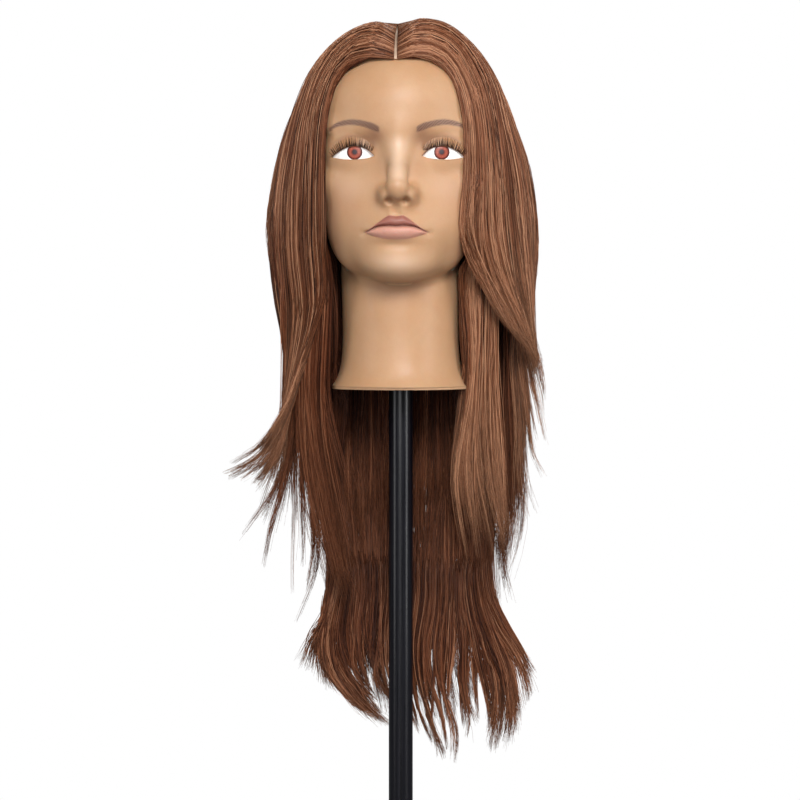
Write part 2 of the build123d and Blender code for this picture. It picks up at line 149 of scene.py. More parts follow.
class Shade:
    """A material with a few helpers for wiring nodes."""

    def __init__(self, name, roughness, specular=0.5):
        self.mat = bpy.data.materials.new(name)
        self.mat.use_nodes = True
        self.tree = self.mat.node_tree
        self.tree.nodes.clear()
        self.out = self.tree.nodes.new("ShaderNodeOutputMaterial")
        self.bsdf = self.tree.nodes.new("ShaderNodeBsdfPrincipled")
        self.tree.links.new(self.bsdf.outputs[0], self.out.inputs[0])
        self.fix(Roughness=roughness, Specular_IOR_Level=specular)

    def node(self, kind, **settings):
        made = self.tree.nodes.new("ShaderNode" + kind)
        for key, value in settings.items():
            setattr(made, key, value)
        return made

    def feed(self, socket, value):
        if isinstance(value, bpy.types.NodeSocket):
            self.tree.links.new(value, socket)
        else:
            socket.default_value = value

    def split(self, vector):
        """The three parts of a vector."""
        made = self.node("SeparateXYZ")
        self.feed(made.inputs[0], vector)
        return made.outputs

    def combine(self, x, y):
        made = self.node("CombineXYZ")
        self.feed(made.inputs[0], x)
        self.feed(made.inputs[1], y)
        return made.outputs[0]

    def math(self, operation, a, b=0.0, clamp=False):
        made = self.node("Math", operation=operation, use_clamp=clamp)
        self.feed(made.inputs[0], a)
        self.feed(made.inputs[1], b)
        return made.outputs[0]

    def mix(self, share, a, b):
        made = self.node("Mix", data_type="RGBA")
        self.feed(made.inputs[0], share)
        self.feed(made.inputs[6], a)
        self.feed(made.inputs[7], b)
        return made.outputs[2]

    def coords(self, scale=(1, 1, 1)):
        mapping = self.node("Mapping")
        self.feed(mapping.inputs["Vector"], self.node("TexCoord").outputs["Object"])
        mapping.inputs["Scale"].default_value = scale
        return mapping.outputs[0]

    def noise(self, vector, scale, detail=3.0, rough=0.5):
        made = self.node("TexNoise")
        self.feed(made.inputs["Vector"], vector)
        made.inputs["Scale"].default_value = scale
        made.inputs["Detail"].default_value = detail
        made.inputs["Roughness"].default_value = rough
        return made.outputs["Fac"]

    def spread(self, value, low, high, to_low=0.0, to_high=1.0):
        made = self.node("MapRange")
        self.feed(made.inputs["Value"], value)
        for key, number in (("From Min", low), ("From Max", high), ("To Min", to_low), ("To Max", to_high)):
            made.inputs[key].default_value = number
        return made.outputs["Result"]

    def attribute(self, name):
        return self.node("Attribute", attribute_name=name).outputs["Fac"]

    def fix(self, **values):
        """Constant values for the surface's sockets, such as Coat_Weight=0.2."""
        for name, value in values.items():
            self.bsdf.inputs[name.replace("_", " ")].default_value = value

    def colour(self, value):
        self.feed(self.bsdf.inputs["Base Color"], value)

    def rough(self, value):
        self.feed(self.bsdf.inputs["Roughness"], value)

    def bump(self, height, strength, distance):
        made = self.node("Bump")
        made.inputs["Strength"].default_value = strength
        made.inputs["Distance"].default_value = distance
        self.feed(made.inputs["Height"], height)
        self.feed(self.bsdf.inputs["Normal"], made.outputs[0])


def skin_material():
    """Satin vinyl with the factory's paint: brows, eyeshadow on the lids, lips and a faint blush; over it
    painted shade and painted highlights.
    """
    s = Shade("skin_vinyl", 0.42, 0.4)
    where = s.coords()
    mottle = s.noise(where, 38.0, 4.0, 0.6)
    base = s.mix(s.spread(mottle, 0.3, 0.7), srgb(203, 157, 117), srgb(210, 166, 127))
    fine = s.noise(where, 900.0, 2.0)
    base = s.mix(s.spread(fine, 0.35, 0.65, 0.0, 0.12), base, srgb(192, 144, 104))
    base = s.mix(s.math("MULTIPLY", s.attribute("blush"), 0.4), base, srgb(204, 148, 112))
    # Painted highlight on the nose's ridge, the chin and the cheeks.
    base = s.mix(s.attribute("glow"), base, srgb(244, 212, 184))
    # Painted shade in the hollows, under the jaw, nose and lower lip and along the face's sides; by the eyes
    # partly the factory's contour paint.
    base = s.mix(s.attribute("shade"), base, srgb(150, 104, 80))
    base = s.mix(s.attribute("lid"), base, srgb(182, 132, 90))
    lines = s.noise(s.coords((60, 60, 420)), 9.0, 4.0, 0.7)
    # Lip paint, with the lower lip painted lighter and the upper lip darker as painted light and painted
    # shade.
    lip_tone = s.mix(s.spread(lines, 0.35, 0.65), srgb(210, 151, 131), srgb(220, 164, 144))
    lip_tone = s.mix(s.attribute("upper_lip"), lip_tone, srgb(166, 108, 94))
    base = s.mix(s.attribute("lip"), base, lip_tone)
    base = s.mix(s.attribute("mouth_line"), base, srgb(98, 44, 34))
    strokes = s.noise(s.coords(), 1500.0, 2.0, 0.6)
    hair_strokes = s.spread(s.attribute("brow_stroke"), 0.35, 0.62)
    brow_tone = s.mix(hair_strokes, srgb(94, 66, 58), srgb(136, 102, 88))
    brow_tone = s.mix(s.spread(strokes, 0.4, 0.6, 0.0, 0.3), brow_tone, srgb(112, 82, 72))
    base = s.mix(s.attribute("brow"), base, brow_tone)
    base = s.mix(s.attribute("liner"), base, srgb(70, 38, 30))
    s.colour(base)
    s.rough(s.spread(mottle, 0.3, 0.7, 0.40, 0.52))
    pores = s.math("ADD", s.noise(where, 420.0, 3.0), s.math("MULTIPLY", fine, 0.4))
    s.bump(pores, 0.12, 0.0006)
    s.fix(Subsurface_Weight=0.25, Subsurface_Radius=(1.0, 0.4, 0.2), Subsurface_Scale=0.006)
    s.fix(Coat_Weight=0.18, Coat_Roughness=0.45)
    return s.mat


def scalp_material():
    """Pale scalp along the parting; elsewhere dark brown, the roots' colour with painted shade from the hair
    over it.
    """
    s = Shade("scalp_vinyl", 0.55, 0.3)
    where = s.split(s.coords())
    off = s.math("ABSOLUTE", s.math("ADD", where[0], 0.002))
    wavy = s.math("ADD", off, s.math("MULTIPLY", s.noise(s.coords(), 260.0, 3.0), 0.002))
    share = s.spread(wavy, 0.0015, 0.0045)
    front = s.spread(where[1], -0.030, 0.0)
    share = s.math("MAXIMUM", share, s.math("MULTIPLY", front, 0.7), clamp=True)
    roots = s.noise(s.coords(), 1400.0, 2.0)
    # Dark brown under the hair: the roots' colour and painted shade.
    dark = s.mix(s.spread(roots, 0.4, 0.6), srgb(70, 38, 24), srgb(104, 62, 42))
    s.colour(s.mix(share, srgb(233, 200, 172), dark))
    s.bump(roots, 0.2, 0.0005)
    return s.mat


def hair_material(name, dark, middle, light, rough=0.42, root_reach=0.10, root_share=0.35):
    """Strands whose tint comes from their column, with painted shade at the roots, a painted sheen near the
    top and slightly lighter ends.
    """
    s = Shade(name, rough, 0.28)
    tint, along, _ = s.split(s.node("UVMap", uv_map="OFBake").outputs[0])
    banded = s.node("TexNoise", noise_dimensions="2D")
    stretched = s.combine(s.math("MULTIPLY", tint, 400.0), s.math("MULTIPLY", along, 3.0))
    s.feed(banded.inputs["Vector"], stretched)
    banded.inputs["Scale"].default_value = 1.0
    tint = s.math("ADD", tint, s.spread(banded.outputs["Fac"], 0.3, 0.7, -0.12, 0.12), clamp=True)
    # Painted sheen: lighter over each strand's first part and darker past its middle.
    tint = s.math("ADD", tint, s.spread(along, 0.12, 0.5, 0.06, -0.06), clamp=True)
    tone = s.mix(s.spread(tint, 0.05, 0.55), dark, middle)
    tone = s.mix(s.spread(tint, 0.55, 0.98), tone, light)
    # Painted shade towards the roots, root_share strong over the first root_reach of each strand.
    tone = s.mix(s.spread(along, 0.0, root_reach, root_share, 0.0), tone, dark)
    s.colour(s.mix(s.spread(along, 0.6, 1.0, 0.0, 0.35), tone, light))
    s.rough(s.spread(tint, 0.0, 1.0, rough + 0.06, rough - 0.04))
    return s.mat


def eye_white_material():
    """Glossy white, warmer at the inner corner and with faint veins, and a faint painted glow."""
    s = Shade("eye_white", 0.12, 0.5)
    inner = s.spread(s.math("ABSOLUTE", s.split(s.coords())[0]), 0.016, 0.024, 0.08, 0.0)
    veins = s.spread(s.noise(s.coords(), 300.0, 5.0, 0.7), 0.55, 0.8, 0.0, 0.15)
    share = s.math("ADD", inner, veins, clamp=True)
    s.colour(s.mix(share, srgb(253, 251, 249), srgb(242, 222, 214)))
    s.fix(Coat_Weight=0.6, Coat_Roughness=0.04)
    # A faint painted glow: the white emits a little light of its own.
    s.fix(Emission_Color=srgb(255, 252, 250), Emission_Strength=0.12)
    return s.mat


def iris_material():
    """Fibres that run outwards, with a dark rim and a darker ring at the pupil."""
    s = Shade("iris_brown", 0.35, 0.25)
    x, _, z = s.split(s.coords())
    across = s.math("SUBTRACT", s.math("ABSOLUTE", x), IRIS_X * MM)
    up = s.math("SUBTRACT", z, (NECK_Z + EYE_H) * MM)
    radius = s.math("SQRT", s.math("ADD", s.math("MULTIPLY", across, across), s.math("MULTIPLY", up, up)))
    turn = s.math("ARCTAN2", up, across)
    rays = s.combine(s.math("MULTIPLY", turn, 9.0), s.math("MULTIPLY", radius, 300.0))
    fibres = s.noise(rays, 1.6, 3.0, 0.6)
    tone = s.mix(s.spread(fibres, 0.35, 0.65), srgb(146, 62, 48), srgb(196, 106, 84))
    tone = s.mix(s.spread(radius, 0.0040, 0.0054), tone, srgb(78, 28, 26))
    tone = s.mix(s.spread(radius, 0.0030, 0.0018, 0.0, 0.8), tone, srgb(66, 36, 38))
    s.colour(tone)
    s.fix(Coat_Weight=0.15, Coat_Roughness=0.05)
    return s.mat


def plain_material(name, dark, light, rough, scale=60.0, metallic=0.0):
    """A moulded, painted or turned surface with slight changes of tone and gloss."""
    s = Shade(name, rough)
    cloud = s.noise(s.coords(), scale, 4.0, 0.6)
    s.colour(s.mix(s.spread(cloud, 0.35, 0.65), dark, light))
    s.rough(s.spread(cloud, 0.3, 0.7, rough * 0.85, rough * 1.15))
    s.fix(Metallic=metallic)
    s.bump(s.noise(s.coords(), scale * 18, 2.0), 0.1, 0.0003)
    return s.mat


def pole_material():
    """Black enamel with fine drawn lines and a few rubbed specks."""
    s = Shade("black_enamel", 0.28, 0.35)
    drawn = s.noise(s.coords((1, 1, 0.02)), 900.0, 3.0)
    specks = s.spread(s.noise(s.coords(), 500.0, 4.0, 0.75), 0.70, 0.74)
    tone = s.mix(s.spread(drawn, 0.35, 0.65), srgb(6, 6, 12), srgb(13, 13, 22))
    s.colour(s.mix(s.math("MULTIPLY", specks, 0.3), tone, srgb(88, 88, 96)))
    s.rough(s.spread(drawn, 0.3, 0.7, 0.24, 0.36))
    s.bump(drawn, 0.05, 0.0003)
    s.fix(Coat_Weight=0.15, Coat_Roughness=0.1)
    return s.mat


# ------------------------------------------------------------------ the head's form
def smooth_min(a, b, soft):
    gap = np.maximum(soft - np.abs(a - b), 0) / soft
    return np.minimum(a, b) - gap * gap * soft / 4


def ellipsoid(p, centre, radii):
    q = p - np.array(centre, float)
    r = np.array(radii, float)
    k0 = np.sqrt(((q / r) ** 2).sum(-1))
    k1 = np.sqrt(((q / r**2) ** 2).sum(-1)) + 1e-9
    return k0 * (k0 - 1) / k1


def capsule(p, a, b, ra, rb):
    a, b = np.array(a, float), np.array(b, float)
    ab = b - a
    t = np.clip(((p - a) @ ab) / (ab @ ab), 0, 1)
    nearest = a + t[..., None] * ab
    return np.linalg.norm(p - nearest, axis=-1) - (ra + (rb - ra) * t)


def head_distance(p):
    """How far p lies outside the head; the left half is the right half's mirror image."""
    q = p.copy()
    q[..., 0] = np.abs(q[..., 0])
    h = q[..., 2]
    d = ellipsoid(q, (0, 4, 200), (71.5, 88, 84))
    d = smooth_min(d, ellipsoid(q, (0, -30, 221), (63, 57.5, 50)), 14)
    d = smooth_min(d, ellipsoid(q, (0, -28, 160), (57, 55, 62)), 14)
    d = smooth_min(d, ellipsoid(q, (40, -45, 162), (22, 26, 20)), 14)
    d = smooth_min(d, ellipsoid(q, (0, -40, 130.5), (57.5, 46, 44.5)), 14)
    d = smooth_min(d, capsule(q, (38.5, -2, 124), (31, -40, 109), 13, 14.5), 14)
    d = smooth_min(d, ellipsoid(q, (0, -63, 101.5), (28, 24.5, 17.5)), 14)
    d = smooth_min(d, ellipsoid(q, (0, -58, 128), (34, 30.5, 25)), 16)
    d = smooth_min(d, capsule(q, (0, -78.5, 202), (46, -61, 203), 8, 7), 12)
    hollow = ellipsoid(q, (31, -95, 189.5), (20, 17.5, 11))
    d = -smooth_min(-d, hollow, 9)
    d = smooth_min(d, ellipsoid(q, (EYE_X, EYE_Y, EYE_H), (LID_R, LID_R, LID_R)), 3.0)
    nose = capsule(q, (0, -79, 192), (0, -95.2, 166), 6.2, 6.2)
    nose = smooth_min(nose, capsule(q, (0, -95.2, 166), (0, -100, 156.5), 6.2, 9.0), 7)
    nose = smooth_min(nose, ellipsoid(q, (8.8, -92.2, 150.6), (5.7, 9.5, 6.6)), 4)
    nose = smooth_min(nose, capsule(q, (0, -101, 152.5), (0, -89, 146), 5.0, 4.0), 4)
    d = smooth_min(d, nose, 12)
    nostril = ellipsoid(q, (6.4, -97.5, 145.8), (2.8, 4.8, 2.5))
    d = -smooth_min(-d, nostril, 3.2)
    flare = 45.7 + 9.1 * np.exp(-np.maximum(h - 2, 0) / 10.5) + 1.4 * ease(35, 95, h)
    neck = np.sqrt((q[..., 0]) ** 2 + ((q[..., 1] - 2) * 0.945) ** 2) - flare
    neck = np.maximum(neck, h - 120)
    return smooth_min(d, neck, 9)


def trace(origins, ways):
    """Where rays that come in from outside meet the head."""
    reach = np.full(len(origins), TRACE_FROM)
    for _ in range(TRACE_STEPS):
        reach -= TRACE_SHARE * head_distance(origins + ways * reach[:, None])
    return origins + ways * reach[:, None]


def spaced(*bands):
    """Levels in bands: each (from, to, step)."""
    levels = [np.arange(low, high - 1e-6, step) for low, high, step in bands]
    return np.concatenate([*levels, [bands[-1][1]]])


def upper_lid(x):
    heights = (180.9, 183.4, 186.1, 187.7, 188.2, 187.3, 185.1, 182.6, 180.1)
    return curve_through((EYE_INNER, 21, 25, 29.5, 34, 39, 44, 48, EYE_OUTER), heights, x)


def lower_lid(x):
    heights = (180.7, 179.4, 178.5, 178.0, 178.4, 179.3, 180.0)
    return curve_through((EYE_INNER, 22, 28, 36, 43, 48, EYE_OUTER), heights, x)


def crease(x):
    return curve_through((15, 19, 25, 33, 41, 48, 54), (183.5, 188.5, 193.2, 195.0, 193.9, 190.0, 184.0), x)


def mouth_curve(x):
    return curve_through((0, 6, 12, 15, 18, 21.5, 24.3), (126.8, 127.1, 126.8, 126.2, 125.0, 123.2, 121.9), x)


def lip_top(x):
    return curve_through((0, 2.5, 5, 9, 13, 18, 24.3), (134.2, 134.6, 135.0, 133.0, 129.9, 126.3, 122.0), x)


def lip_bottom(x):
    return curve_through((0, 6, 11, 16, 20, 24), (116.6, 116.8, 117.5, 118.7, 120.0, 121.7), x)


def face_relief(x, h):
    """How far the face's small forms stand out in front of the plain surface."""
    ax = np.abs(x + MOUTH_SHIFT)
    middle, top, bottom = mouth_curve(ax), lip_top(ax), lip_bottom(ax)
    width = 1 - ease(19, 24.5, ax)
    near = 1 - ease(22.5, 25.5, ax)
    up = np.clip((h - middle) / np.maximum(top - middle, 0.3), 0, 1)
    down = np.clip((middle - h) / np.maximum(middle - bottom, 0.3), 0, 1)
    out = 2.4 * np.sin(np.pi * up) ** 0.75 * (h > middle) * (0.35 * near + 0.65 * width)
    out += 2.6 * np.sin(np.pi * down) ** 0.75 * (h <= middle) * (0.25 * near + 0.75 * width)
    out += 1.6 * bell(h, (top + bottom) / 2, 10) * bell(ax, 0, 18)
    out -= 2.2 * bell(h, middle, 0.85) * (1 - ease(22, 26, ax))
    out -= 0.9 * bell(h, 121.4, 2.8) * bell(ax, 25.5, 3.0)
    out -= 1.0 * bell(ax, 0, 2.6) * ease(134, 137, h) * (1 - ease(141, 145, h))
    out += 0.6 * bell(ax, 5.0, 2.0) * ease(134, 136, h) * (1 - ease(140, 145, h))
    out -= 1.5 * bell(h, 112.5, 4.0) * bell(ax, 0, 15)
    ax = np.abs(x)
    out -= 0.45 * bell(h, crease(ax), 0.95) * ease(19, 25, ax) * (1 - ease(50, 55, ax))
    out -= 0.5 * bell(ax + (h - 150) * 0.35, 21.5, 5.5) * bell(h, 145, 9)
    return out


def head_grid():
    """Rows and columns of points over the outside, from the neck's base to the crown."""
    across = spaced((0, 15, 0.62), (15, 54, 0.55), (54, 62, 1.0))
    side = np.concatenate([np.degrees(np.arctan2(across, 86.0)), np.linspace(38, 180, 44)[:-1]])
    turns = np.radians(np.concatenate([side, -side[1:][::-1], [180.0]]))
    turns = np.unique(np.round(np.mod(turns, 2 * math.pi), 7))
    neck = ((2, 5, 1.0), (5, 78, 3.0))
    face = ((78, 92, 0.8), (92, 112, 1.3), (112, 137, 0.55), (137, 172, 0.85), (172, 198, 0.45))
    levels = spaced(*neck, *face, (198, SPHERE_H, 0.9))
    ways_flat = np.stack([np.sin(turns), -np.cos(turns), np.zeros_like(turns)], 1)
    rows = []
    for level in levels:
        origins = np.tile([0.0, 0.0, level], (len(turns), 1))
        rows.append((origins, ways_flat))
    for rise in np.radians(np.concatenate([np.arange(1.0, 60, 1.7), np.arange(60, 89.0, 2.4)])):
        ways = ways_flat * math.cos(rise) + np.array([0, 0, math.sin(rise)])
        rows.append((np.tile([0.0, 0.0, SPHERE_H], (len(turns), 1)), ways))
    origins = np.concatenate([r[0] for r in rows])
    ways = np.concatenate([r[1] for r in rows])
    points = trace(origins, ways)
    return points.reshape(len(rows), len(turns), 3), len(levels)


def dome_y(x, h):
    """The eye's front surface."""
    off = (np.abs(x) - EYE_X) ** 2 + (h - EYE_H) ** 2
    return EYE_Y - np.sqrt(np.maximum(EYE_DOME_R**2 - off, 0))


def cut_eye_openings(grid, flat_rows):
    """Pulls the points inside each eye's opening behind the eye, with a clean edge at the lids."""
    for column in range(grid.shape[1]):
        if grid[flat_rows // 2, column, 1] > FACE_FRONT_Y:
            continue
        heights = grid[:flat_rows, column, 2]
        near = np.nonzero((heights > EYE_BAND_LOW) & (heights < EYE_BAND_HIGH))[0]
        ax = np.abs(grid[near, column, 0])
        h = grid[near, column, 2]
        inside = (ax > EYE_INNER) & (ax < EYE_OUTER) & (h > lower_lid(ax)) & (h < upper_lid(ax))
        if inside.sum() < 1:
            continue
        picked = near[inside]
        low, high = picked[0], picked[-1]
        top_h = float(upper_lid(np.array([abs(grid[high, column, 0])]))[0])
        low_h = float(lower_lid(np.array([abs(grid[low, column, 0])]))[0])
        for row in picked:
            grid[row, column, 1] = dome_y(grid[row, column, 0], grid[row, column, 2]) + EYE_SET_BACK
        grid[high, column, 2] = top_h - 0.03
        grid[high + 1, column, 2] = top_h
        grid[low, column, 2] = low_h + 0.03
        grid[low - 1, column, 2] = low_h
    return grid


def brow_curve(x):
    return curve_through((14, 20, 27, 34, 42, 49, 54), (200.6, 203.2, 205.4, 206.6, 206.2, 204.2, 200.8), x)


def skin_mesh(grid):
    """A closed mesh from the grid of outer points: outside, inside, base rim and crown caps."""
    rows, columns = grid.shape[:2]
    inner = grid[:: INNER_STRIDE].copy()
    middle = np.stack(
        [np.zeros(inner.shape[:2]), np.full(inner.shape[:2], 2.0), np.minimum(inner[..., 2], 205.0)], -1
    )
    away = inner - middle
    length = np.linalg.norm(away, axis=-1, keepdims=True)
    inner = middle + away * np.maximum(length - SKIN_WALL, 10) / length
    inner[0] = grid[0] * [0.945, 0.945, 1.0]
    centre_top = np.array([[0.0, grid[-1, :, 1].mean(), grid[-1, :, 2].max() + 0.05]])
    verts = [grid.reshape(-1, 3), inner.reshape(-1, 3), centre_top, centre_top - [[0, 0, 5.0]]]
    outer_index = np.arange(rows * columns).reshape(rows, columns)
    inner_index = rows * columns + np.arange(len(inner) * columns).reshape(len(inner), columns)
    top = rows * columns + inner_index.size

    def sheet(index):
        right = np.roll(index, -1, axis=1)
        return np.stack([index[:-1], right[:-1], right[1:], index[1:]], -1).reshape(-1, 4)

    ring, inner_ring = outer_index[0], inner_index[0]
    rim = np.stack([inner_ring, np.roll(inner_ring, -1), np.roll(ring, -1), ring], -1)
    quads = np.concatenate([sheet(outer_index), sheet(inner_index)[:, ::-1], rim])
    ring, inner_ring = outer_index[-1], inner_index[-1]
    caps = [
        np.stack([ring, np.roll(ring, -1), np.full(columns, top)], -1),
        np.stack([np.roll(inner_ring, -1), inner_ring, np.full(columns, top + 1)], -1),
    ]
    return new_mesh("head_skin", place(np.concatenate(verts)), quads, np.concatenate(caps))


def mouth_marks(x, level):
    """Lips and the line between them."""
    mx = np.abs(x + MOUTH_SHIFT)
    above = ease(-0.5, 0.45, lip_top(mx) - level)
    lip = above * ease(-0.5, 0.45, level - lip_bottom(mx)) * (1 - ease(23.2, 24.6, mx))
    return {
        "lip": lip,
        "upper_lip": ease(-0.6, 0.6, level - mouth_curve(mx)) * lip,
        "mouth_line": bell(level, mouth_curve(mx), 0.7) * (1 - ease(22.5, 26.5, mx)) * 0.8,
    }


def eye_marks(ax, level):
    """Brows with their strokes, the lids' colour and the lines along the lashes."""
    half = curve_through((14, 17, 26, 40, 54), (1.9, 2.5, 2.3, 2.0, 1.3), ax)
    offset = level - brow_curve(ax)
    brow = ease(-0.6, 0.5, half - np.abs(offset)) * ease(13.4, 15.4, ax) * (1 - ease(53, 55.5, ax))
    lid = ease(-1.0, 1.0, crease(ax) - level) * ease(-0.2, 0.6, level - upper_lid(ax))
    lines = bell(level, upper_lid(ax) + 0.3, 0.8) * ease(17.5, 21, ax) * (1 - ease(51, 53, ax))
    lower_line = 0.4 * bell(level, lower_lid(ax) - 0.3, 0.5)
    lines += lower_line * ease(20, 26, ax) * (1 - ease(49, 52, ax))
    return {
        "brow": brow * 0.82,
        "brow_stroke": np.sin((ax - offset * 1.3) * 2.2 + 1.3 * np.sin(ax * 0.9)) * 0.5 + 0.5,
        "lid": lid * ease(16, 20, ax) * (1 - ease(50, 55, ax)) * 0.7,
        "liner": np.clip(lines, 0, 1) * 0.75,
    }


def shading_marks(x, level):
    """Painted shade in the hollows, under the jaw and along the face's sides, partly the factory's contour
    paint by the eyes; painted highlights on the ridges; and a blush on the cheeks.
    """
    ax, mx = np.abs(x), np.abs(x + MOUTH_SHIFT)
    # Painted shade at the lids' creases and the eyes' inner corners, partly the factory's contour paint, and
    # painted shade down the nose's sides and in the nostrils.
    fold = 0.75 * bell(level, crease(ax) + 1.2, 2.4) * ease(15, 22, ax) * (1 - ease(50, 57, ax))
    shade = bell(ax, 18.5, 7.0) * bell(level, 195.5, 7.5) + fold
    shade += 0.2 * bell(ax, 14.5, 6.0) * bell(level, 176, 15)
    shade += 0.4 * bell(ax, 6.5, 5.0) * bell(level, 148.5, 3.2)
    # Painted shadow under the jaw, painted shade along the face's sides and at the nose's wings and tip, and
    # a painted shadow under the lower lip.
    shade += 0.95 * ease(60, 79, level) * (1 - ease(81, 88, level)) * (1 - ease(44, 60, ax))
    contour = ease(40, 55, ax + 0.12 * (125 - level)) * ease(86, 96, level) * (1 - ease(135, 165, level))
    shade += 1.3 * contour + 0.5 * bell(ax, 15.8, 1.7) * bell(level, 149, 6)
    shade += 0.3 * bell(ax, 0, 9) * bell(level, 152, 5) + 0.4 * bell(mx, 0, 14) * bell(level, 115.5, 2.6)
    # Painted highlights on the nose's ridge, the chin and the cheeks.
    ridge = bell(x, 0, 6.5) * ease(155, 166, level) * (1 - ease(188, 200, level))
    chin = 0.95 * bell(x, 0, 16) * bell(level, 99, 7)
    cheek = 0.35 * bell(ax, 36, 12) * bell(level, 158, 9)
    return {
        "shade": np.clip(shade, 0, 1) * 0.62,
        "blush": bell(ax, 42, 14) * bell(level, 150, 18),
        "glow": np.clip(ridge + chin + cheek, 0, 1) * 0.62,
    }


def build_head():
    """The vinyl skin with its face, and the factory's paint with the painted shade and highlights as values
    at its points.
    """
    grid, flat_rows = head_grid()
    x, level = grid[..., 0].copy(), grid[..., 2].copy()
    front = ease(-35, -55, grid[..., 1])
    grid[..., 1] -= face_relief(x, level) * front
    obj = skin_mesh(cut_eye_openings(grid, flat_rows))
    marks = {**mouth_marks(x, level), **eye_marks(np.abs(x), level), **shading_marks(x, level)}
    for name, values in marks.items():
        full = np.zeros(len(obj.data.vertices))
        full[: x.size] = (values * front).ravel()
        paint(obj, name, full)
    return obj


# ------------------------------------------------------------------ strands
def strand_mesh(name, curves, facing, widths, columns, start, end):
    """A closed, tapered three-sided prism along each curve, with a UV column per strand."""
    count, steps = curves.shape[:2]
    along = np.gradient(curves, axis=1)
    along /= np.linalg.norm(along, axis=-1, keepdims=True) + 1e-12
    first = facing - (facing * along).sum(-1, keepdims=True) * along
    first /= np.linalg.norm(first, axis=-1, keepdims=True) + 1e-12
    second = np.cross(along, first)
    rng = np.random.default_rng(len(name) * 7 + count)
    turn = rng.uniform(0, 2 * math.pi, (count, 1))
    rings = []
    for side in range(SIDES):
        angle = (turn + 2 * math.pi * side / SIDES)[..., None]
        rings.append(curves + (np.cos(angle) * first + np.sin(angle) * second) * widths[..., None] / 2)
    verts = np.stack(rings, 2)
    base = np.arange(count)[:, None, None] * steps * SIDES + np.arange(steps - 1)[None, :, None] * SIDES
    near = base + np.arange(SIDES)
    after = base + (np.arange(SIDES) + 1) % SIDES
    quads = np.stack([near, after, after + SIDES, near + SIDES], -1).reshape(-1, 4)
    root = np.arange(count)[:, None] * steps * SIDES
    tip = root + (steps - 1) * SIDES
    caps = np.concatenate([root + np.array([[2, 1, 0]]), tip + np.array([[0, 1, 2]])])
    obj = new_mesh(name, place(verts.reshape(-1, 3)), quads, caps)
    share = np.linspace(0, 1, steps)[None, :] * (end - start)[:, None] + start[:, None]
    u = np.repeat(((columns + 0.5) / TINTS)[:, None], steps, 1)
    per_vertex = np.repeat(np.stack([u, share], -1).reshape(-1, 2), SIDES, 0)
    loops = np.zeros(len(obj.data.loops), np.int32)
    obj.data.loops.foreach_get("vertex_index", loops)
    layer = obj.data.uv_layers.new(name="OFBake")
    layer.data.foreach_set("uv", per_vertex[loops].astype(np.float32).ravel())
    return obj


def between(field, where):
    """Reads a field of guides at fractional guide numbers, smoothly."""
    padded = np.concatenate([2 * field[:1] - field[1:2], field, 2 * field[-1:] - field[-2:-1]])
    where = np.clip(where, 0, len(field) - 1 - 1e-9)
    i = where.astype(int)
    f = (where - i)[:, None, None]
    a, b, c, d = (padded[i + k] for k in range(4))
    return 0.5 * (2 * b + (c - a) * f + (2 * a - 5 * b + 4 * c - d) * f**2 + (3 * b - a - 3 * c + d) * f**3)


def follow(points, count):
    """A smooth line through each guide's points, as count points evenly apart."""
    by_point = np.array(points, float).swapaxes(0, 1)
    fine = between(by_point, np.linspace(0, len(by_point) - 1 - 1e-9, count * 4)).swapaxes(0, 1)
    out = []
    for line in fine:
        run = np.concatenate([[0], np.cumsum(np.linalg.norm(np.diff(line, axis=0), axis=1))])
        want = np.linspace(0, run[-1], count)
        out.append(np.stack([np.interp(want, run, line[:, k]) for k in range(3)], 1))
    return np.array(out)


def facing_in(field):
    """Unit vectors from the points of a field of guides towards the head's middle."""
    fall = -np.maximum(field[..., 2] - 200, 0)
    inwards = np.stack([-0.5 * field[..., 0], 10 - field[..., 1], fall], -1)
    return inwards / np.linalg.norm(inwards, axis=-1, keepdims=True)


def lock_push(rng, t, belong, clumps, wander, wave):
    """How far each strand's lock swings sideways along its length, in about wave swings."""
    phase = rng.uniform(0, 2 * math.pi, (clumps, 1))
    speed = wave * rng.uniform(0.8, 1.3, (clumps, 1))
    grown = (ease(0.15, 0.7, t) + 1.4 * ease(0.6, 1.0, t))[None]
    size = wander / wave * rng.normal(0, 1, (clumps, 1)) * grown
    return (np.sin(phase + speed * 2 * math.pi * t[None]) * size)[belong]


def add_frizz(rng, t, sway, fly):
    """Adds each strand's small waves to sway and returns its fanned end; a share fly is looser."""
    count = len(sway)
    loose = np.where(rng.uniform(0, 1, count) < fly, 3.2, 1.0)[:, None]
    for k in range(3):
        phase = rng.uniform(0, 2 * math.pi, (count, 1))
        speed = rng.uniform(0.7, 2.6, (count, 1))
        size = 0.32 * rng.normal(0, 1, (count, 1)) * loose * ease(0.0, 0.5, t)[None]
        sway[..., k] += np.sin(phase + speed * 2 * math.pi * t[None]) * size
    fan = rng.normal(0, 1, (count, 3)) * loose * 0.8
    return fan[:, None, :] * (ease(0.55, 1.0, t) ** 2)[None, :, None]


def strand_tints(rng, where, span, belong, clumps, depth, tone):
    """Each strand's column on the tint scale: by lock, by band and by chance, with painted light and shade by
    the sheet's tone and painted shade on the deeper strands.
    """
    bands = rng.normal(0, 1, int(span * BANDS_PER_GUIDE) + 2)
    band = np.interp(where * BANDS_PER_GUIDE, np.arange(len(bands)), bands)
    by_lock = 0.1 * rng.normal(0, 1, clumps)[belong]
    # Deeper strands are darker as painted shade; tone lightens or darkens a whole sheet as painted light and
    # shade.
    tint = 0.56 + tone + by_lock + 0.25 * band + 0.18 * rng.normal(0, 1, len(where)) - 0.22 * depth
    return np.clip((tint * TINTS).astype(int), 0, TINTS - 1)


